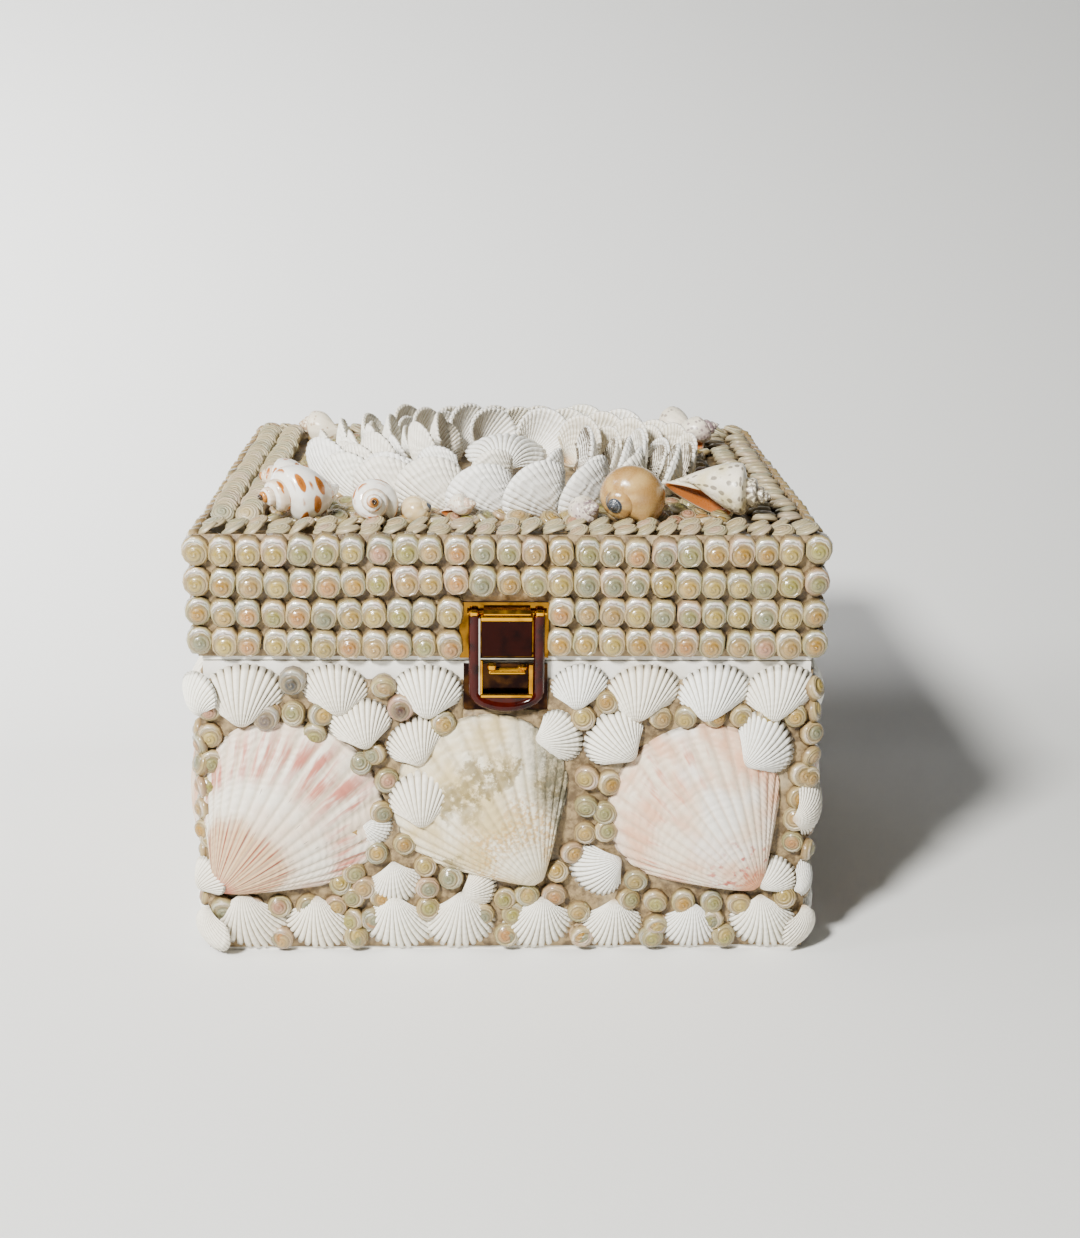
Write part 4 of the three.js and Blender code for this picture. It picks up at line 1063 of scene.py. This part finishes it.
def snail_rule(tip, whorl, turns, mouth):
    """u goes round the mouth's outline, v along the winding; the last steps fold the lip in to close the
    mouth."""
    corners, steps = len(mouth), turns * STEPS_PER_TURN
    middle = Vector([sum(p[k] for p in mouth) / corners for k in (0, 1)])
    lip = [(1.0, 0.0), (0.86, -0.02), (0.8, -0.12), (0.7, -0.5), (0.0, -0.6)]

    def outline(u):
        position = (u * corners) % corners
        i = int(position)
        f = position - i
        a, b, c, d = [Vector(mouth[(i + k) % corners]) for k in (-1, 0, 1, 2)]
        curve = (2 * a - 5 * b + 4 * c - d) * f ** 2 + (3 * b - a - 3 * c + d) * f ** 3
        return 0.5 * ((2 * b) + (c - a) * f + curve)

    def rule(u, v):
        row = round(v * (steps + len(lip)))
        share, lag = (1.0, 0.0) if row <= steps else lip[row - steps - 1]
        angle = 2 * math.pi * turns * min(1.0, row / steps) + lag
        size = whorl ** ((min(row, steps) - steps) / STEPS_PER_TURN)
        if row == 0:
            return (0, 0, tip), 0
        r, down = middle.lerp(outline(u), share)
        place = (size * r * math.cos(angle), -size * r * math.sin(angle), tip - size * down)
        return place, (0 if share < 1 else 1)
    return rule, steps + len(lip)

# %% Snail finishes
def snail_maps(add, cells):
    """Round the outline, along the winding, and round patches laid out in a staggered way over both."""
    around, along = uv_of(add)
    place = add("join", add("times", around, cells[0]), add("times", along, cells[1]))
    warp = add("noise", place, 1.6, Detail=2, output="Color")
    place = add("mix", 0.18, place, warp, blend_type="ADD")
    distance = add("cells", place, 1.0, Randomness=0.75)
    return around, along, distance, add("split_colour", distance.node.outputs["Color"])


def glaze(add, here, colour, along, inside_colour, rough=0.15):
    """The colour inside the mouth, and the gloss with its fine growth lines."""
    inside = add("minus", 1.0, add("relief"))
    colour = add("mix", add("step", inside, 0.2, 0.9), colour, inside_colour)
    grain = add("noise", here, of_size(0.8))
    lines = add("sine", add("times", along, 420))
    normal = add("bump", Height=lines, Distance=0.03 * MM,
                 Normal=add("bump", Height=grain, Distance=0.05 * MM))
    return colour, add("step", grain, 0.3, 0.7, rough, rough + 0.14), normal


def babylon_shell(add, here):
    """Porcelain-like white with rust patches in a band and a dark tip, under a glassy glaze."""
    around, along, distance, chosen = snail_maps(add, (12, 36))
    colour = add("mix", add("step", add("noise", here, of_size(6)), 0.35, 0.7), "#f6f1e6", add("tint"))
    outer = add("times", add("step", around, 0.1, 0.14), add("step", around, 0.72, 0.66))
    early = add("times", outer, add("step", along, 0.86, 0.76, 0, 0.55))
    colour = add("mix", early, colour, "#c9a06c")
    patch = add("times", add("step", distance, 0.46, 0.38), add("step", chosen, 0.14, 0.2))
    brown = add("mix", add("step", distance, 0.0, 0.4), add("core"), "#b56c26")
    colour = add("mix", add("times", patch, outer), colour, brown)
    colour = add("mix", add("step", along, 0.5, 0.42), colour, "#b8762c")
    colour = add("mix", add("step", along, 0.26, 0.2), colour, "#3a2412")
    return glaze(add, here, colour, along, "#d9c4a4")


def moon_shell(add, here):
    """Smooth tan shell with darker clouds and a slate spire, a little waxy."""
    around, along, distance, _ = snail_maps(add, (4, 60))
    colour = add("mix", add("step", distance, 0.2, 0.7), add("tint"), add("core"))
    colour = add("mix", add("step", add("noise", here, of_size(5)), 0.5, 0.75, 0, 0.4), colour, "#8a6a40")
    wound = add("step", add("sine", add("times", around, 80)), 0.0, 0.9)
    colour = add("mix", add("step", along, 0.7, 0.63), colour, add("mix", wound, "#2f343c", "#6b6f76"))
    return glaze(add, here, colour, along, "#8a5a34", 0.2)


def conch_shell(add, here):
    """Cream shell with brown specks and dark spots on its early whorls, under a thin gloss."""
    _, along, distance, chosen = snail_maps(add, (20, 120))
    colour = add("mix", add("step", add("noise", here, of_size(7)), 0.35, 0.7), "#efe5d0", add("tint"))
    speck = add("times", add("step", distance, 0.5, 0.35), add("step", chosen, 0.55, 0.65))
    colour = add("mix", add("times", speck, 0.7), colour, add("core"))
    dark = add("times", add("step", add("noise", here, of_size(1.3)), 0.4, 0.52),
               add("step", along, 0.84, 0.78))
    colour = add("mix", add("times", dark, 0.8), colour, add("core"))
    return glaze(add, here, colour, along, "#a05a24", 0.24)


babylon_glaze = finish("glazed_babylon_shell", babylon_shell, coat_weight=0.6, coat_roughness=0.08)
moon_glaze = finish("tan_moon_shell", moon_shell, coat_weight=0.35, coat_roughness=0.15)
conch_glaze = finish("speckled_conch_shell", conch_shell, coat_weight=0.25, coat_roughness=0.25)

# %% Snails in place
SNAILS = {  # kind, radius, middle, direction of the tip, turn about the axis, finish, slot, tint, core
    "babylon_shell_lying": ("babylon", 11.6, (-67.5, -74.5), (-0.78, -0.56, -0.06), 190, babylon_glaze,
                            "babylon_shell", "#fbf8f2", "#8a4f1c"),
    "babylon_shell_behind": ("babylon", 9.8, (-72, -54), (-0.9, 0.35, 0.05), 180, babylon_glaze,
                             "babylon_shell", "#f2ece2", "#9a5c24"),
    "babylon_shell_facing": ("babylon", 9.8, (-45.5, -75.8), (0.1, -0.93, 0.2), 225, babylon_glaze,
                             "babylon_shell", "#f6f2ec", "#8a4f1c"),
    "moon_shell": ("moon", 13.0, (40.5, -76.5), (-0.5, -0.8, -0.2), 215, moon_glaze, "moon_shell", "#c09c60",
                   "#a47c46"),
    "conch_shell": ("conch", 12.4, (69.5, -73.5), (0.95, -0.3, -0.1), 208, conch_glaze, "conch_shell",
                    "#dccfa4", "#3a281c"),
    "whelk_shell_front": ("babylon", 6.4, (24, -76), (0.5, -0.6, 0.35), 300, conch_glaze, "conch_shell",
                          "#cbb9b2", "#6d5660"),
    "whelk_shell_small": ("babylon", 5.6, (-18, -76), (0.8, -0.45, 0.25), 200, conch_glaze, "babylon_shell",
                          "#f0e4da", "#c9a58a"),
    "cowrie_shell": ("moon", 6.6, (-31, -76.8), (0.8, -0.3, 0.45), 290, moon_glaze, "moon_shell", "#e6d2aa",
                     "#d2b684"),
    "conch_shell_rear": ("conch", 9, (72, 68), (-0.5, 0.85, 0), 200, conch_glaze, "conch_shell", "#cdbba4",
                         "#6d5a50"),
    "moon_shell_rear": ("babylon", 8.4, (73, 46), (0.9, 0.2, 0.3), 180, conch_glaze, "moon_shell", "#c6b0a8",
                        "#6d5660"),
    "babylon_shell_rear": ("babylon", 8, (-72, 66), (-0.9, 0.4, 0), 180, conch_glaze, "babylon_shell",
                           "#e6d8bc", "#a07c5a"),
}
snail_masters = {}
for kind, sizes in SNAIL_KINDS.items():
    rule, rows = snail_rule(**sizes)
    snail_masters[kind] = grow(f"{kind}_snail", 26, rows, rule)
for name, (kind, radius, middle, tip, spin, material, slot, tint, core) in SNAILS.items():
    direction = Vector(tip).normalized()
    stand = frame_at((0, 0, 0), (0, 0, 1), direction) @ Matrix.Rotation(math.radians(spin), 4, "Z")
    shell = copy_to(snail_masters[kind], stand @ Matrix.Scale(radius, 4), tint, core)
    lowest = min(point.co.z for point in shell.data.vertices)
    seat = (LID_TOP + 2 * GAP + GLUE) * MM - lowest
    shell.data.transform(Matrix.Translation((middle[0] * MM, middle[1] * MM, seat)))
    put_together(name + "_piece", [shell], material, "lid", [name])

# %% Masters away
for master in [cockle, scallop, button, disc, coin, petal, centre, *snail_masters.values()]:
    bpy.data.objects.remove(master)

# %% [markdown]
# ## Boards and metal
# The boards, hinges and clasp keep the frame's own shapes and get their finishes here.

# %% Finishes of boards and metal
def painted_board(add, here):
    """Board under white paint: nearly matt, yellowed in clouds, with the grain of a brush."""
    cloudy = add("noise", here, of_size(25), Detail=5)
    colour = add("mix", add("step", cloudy, 0.35, 0.7), "#f2efe8", "#dcd5c6")
    grain = add("noise", here, of_size(1.2), Detail=5, Roughness=0.7)
    return colour, add("step", grain, 0.3, 0.7, 0.65, 0.85), add("bump", Height=grain, Distance=0.15 * MM)


def metal_finish(bright, dull, low, high):
    """Thin plating: glossy between the two roughnesses, with patches of tarnish and fine scratches."""
    def build(add, here):
        tarnish = add("noise", here, of_size(6), Detail=5)
        colour = add("mix", add("step", tarnish, 0.4, 0.75), bright, dull)
        scratch = add("noise", here, of_size(0.7), Detail=4)
        normal = add("bump", Height=scratch, Distance=0.02 * MM)
        return colour, add("step", scratch, 0.3, 0.7, low, high), normal
    return build


def gilt_with_painted_dark_behind(bright, dark, dull, face_mm):
    """Bright on what stands out beyond face_mm from the middle of the box, painted darker on the plate behind
    it: a painted reflection on the catch, painted shade on the lid plate.
    """
    def build(add, here):
        tarnish = add("noise", here, of_size(5), Detail=5)
        depth = add("split", here, output="Y")
        forward = add("step", depth, -(face_mm - 0.1) * MM, -(face_mm + 0.1) * MM)
        plate = add("mix", add("step", tarnish, 0.4, 0.75), dark, dull)
        normal = add("bump", Height=tarnish, Distance=0.05 * MM)
        return add("mix", forward, plate, bright), add("step", tarnish, 0.3, 0.7, 0.1, 0.25), normal
    return build


board_paint = finish("painted_board", painted_board)
brass = finish("hinge_brass", metal_finish("#c9a24a", "#8f6f32", 0.25, 0.45), metallic=1.0)
gilt = finish("bright_gilt", metal_finish("#dc9f22", "#9c6410", 0.1, 0.22), metallic=1.0)
silvered = finish("silvered_edge", metal_finish("#d8d6cc", "#a89c7c", 0.1, 0.22), metallic=1.0)
# painted reflection: the rim and panel are painted near black, as polished metal would mirror a dark surround
painted_reflection_rim = finish("oxblood_rim_with_painted_reflection", metal_finish("#360803", "#0c0202", 0.06, 0.16), specular_ior_level=0.22)
painted_reflection_panel = finish("oxblood_panel_with_painted_reflection", metal_finish("#200502", "#060101", 0.05, 0.14),
                      specular_ior_level=0.06)
# painted reflection: the catch's plate behind the window is painted near black
catch = finish("catch_gilt_and_painted_reflection", gilt_with_painted_dark_behind("#dc9f22", "#160503", "#4a2c0c", 101.5), metallic=0.9)
# painted shade: the lid plate behind the flap is painted darker gold
lid_plate = finish("gilt_knuckle_and_plate_with_painted_shade", gilt_with_painted_dark_behind("#dc9f22", "#8a5f18", "#40280a", 101.7), metallic=1.0)

# %% [markdown]
# The flap of the clasp has a mirror-like rim bent to a U, a panel above and a window below with a gilt frame;
# rim and panel are painted near black, as a painted reflection. The catch on the box shows through the
# window.

# %% The flap of the clasp
FLAP_X, FLAP_FRONT = -0.6, -105.3


def metal_block(name, left, right, front, back, bottom, top, round_off):
    """A bar with rounded edges between the given limits in mm, left and right from the middle of the flap."""
    limits = ((FLAP_X + left, FLAP_X + right), (front, back), (bottom, top))
    deselect()
    bpy.ops.mesh.primitive_cube_add(size=1, location=[sum(side) / 2 * MM for side in limits])
    block = bpy.context.object
    block.name = name
    block.scale = [(side[1] - side[0]) * MM for side in limits]
    bpy.ops.object.transform_apply(location=True, scale=True)
    edge = block.modifiers.new("edge", "BEVEL")
    edge.width, edge.segments = round_off * MM, 3
    bpy.ops.object.modifier_apply(modifier="edge")
    return block


def bent_rim(name, half_width, top, bottom, thick):
    """A half-round bar bent to a U, made as a curve with a round section and turned to a mesh."""
    curve = bpy.data.curves.new(name, "CURVE")
    curve.dimensions, curve.use_fill_caps = "3D", True
    curve.bevel_depth, curve.bevel_resolution = thick * MM, 5
    line = curve.splines.new("POLY")
    bend = 5.2
    turns = [math.radians(180 + 15 * k) for k in range(1, 12)]
    spots = [(-half_width, top), (-half_width, bottom + bend)]
    spots += [(half_width * math.cos(turn), bottom + bend + bend * math.sin(turn)) for turn in turns]
    spots += [(half_width, bottom + bend), (half_width, top)]
    line.points.add(len(spots) - 1)
    for point, (x, z) in zip(line.points, spots):
        point.co = ((FLAP_X + x) * MM, (FLAP_FRONT + thick) * MM, z * MM, 1)
    rim = bpy.data.objects.new(name, curve)
    bpy.context.scene.collection.objects.link(rim)
    deselect()
    rim.select_set(True)
    bpy.context.view_layer.objects.active = rim
    bpy.ops.object.convert(target="MESH")
    rim = bpy.context.object
    bpy.ops.object.shade_smooth()
    return rim


def tongue(name, half_width, low, high):
    """The half-moon plate below the window: a thin cylinder whose upper half is brought down to the window's
    edge."""
    deselect()
    bpy.ops.mesh.primitive_cylinder_add(vertices=48, radius=1, depth=1, rotation=(math.pi / 2, 0, 0))
    plate = bpy.context.object
    plate.name = name
    plate.location = (FLAP_X * MM, (FLAP_FRONT + 1.4) * MM, high * MM)
    bpy.ops.object.transform_apply(location=False, rotation=True, scale=False)
    plate.scale = (half_width * MM, 1.0 * MM, (high - low) * MM)
    bpy.ops.object.transform_apply(location=True, scale=True)
    for point in plate.data.vertices:
        point.co.z = min(point.co.z, high * MM)
    return plate


# %% The flap in place
FLAP_BARS = {  # left, right, front, back, bottom, top and rounding, in mm
    "clasp_panel": [("panel", -8.3, 8.3, -104.2, -103.2, 105.8, 118.4, 0.3)],
    "clasp_top_bar": [("bar", -8.6, 8.6, -104.9, -103.3, 117.7, 119.9, 0.7),
                      ("ear", -12.2, -9.2, -104.6, -102.4, 118.9, 121.6, 0.8),
                      ("ear", 9.2, 12.2, -104.6, -102.4, 118.9, 121.6, 0.8)],
    "clasp_edges": [("line", -9, 9, -104.6, -103.4, 105.0, 105.6, 0.2),
                    ("line", -9.2, -8.6, -104.6, -103.2, 92, 119, 0.2)],
    "clasp_window_frame": [("frame", 7.2, 8.8, -104.7, -103.2, 92, 103.5, 0.4),
                           ("frame", -8.6, 8.6, -104.9, -103.2, 91.8, 93.3, 0.5),
                           ("frame", -8.6, -7.8, -104.6, -103.2, 92, 104.8, 0.3),
                           ("knob", -6.4, -3.4, -104.8, -102.6, 100.9, 103.9, 1.3),
                           ("knob", 4.4, 6.9, -104.8, -102.6, 100.9, 103.4, 1.1),
                           ("bar", -5.4, 6.2, -104.2, -103.4, 99.8, 100.7, 0.3)],
}
FLAP_FINISH = {"clasp_rim": painted_reflection_rim, "clasp_panel": painted_reflection_panel, "clasp_edges": silvered}
flap_parts = {"clasp_rim": [bent_rim("rim", 10.6, 119.6, 88.6, 1.85), tongue("tongue", 11.0, 88.0, 92.4)]}
for name, bars in FLAP_BARS.items():
    flap_parts[name] = [metal_block(part, *sizes) for part, *sizes in bars]
for name, parts in flap_parts.items():
    look = FLAP_FINISH.get(name, gilt)
    put_together(name, parts, look, "clasp_flap", ["clasp_flap"])

# %% Finishes in place
NODE_FINISH = {"box_board": board_paint, "lid_board": board_paint, "clasp_catch": catch,
               "clasp_lid_plate": lid_plate}
for name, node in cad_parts.items():
    look = NODE_FINISH.get(name)
    look = look or (brass if name.startswith("hinge") else gilt if name.startswith("clasp") else None)
    if look:
        node.data.materials.clear()
        node.data.materials.append(look)
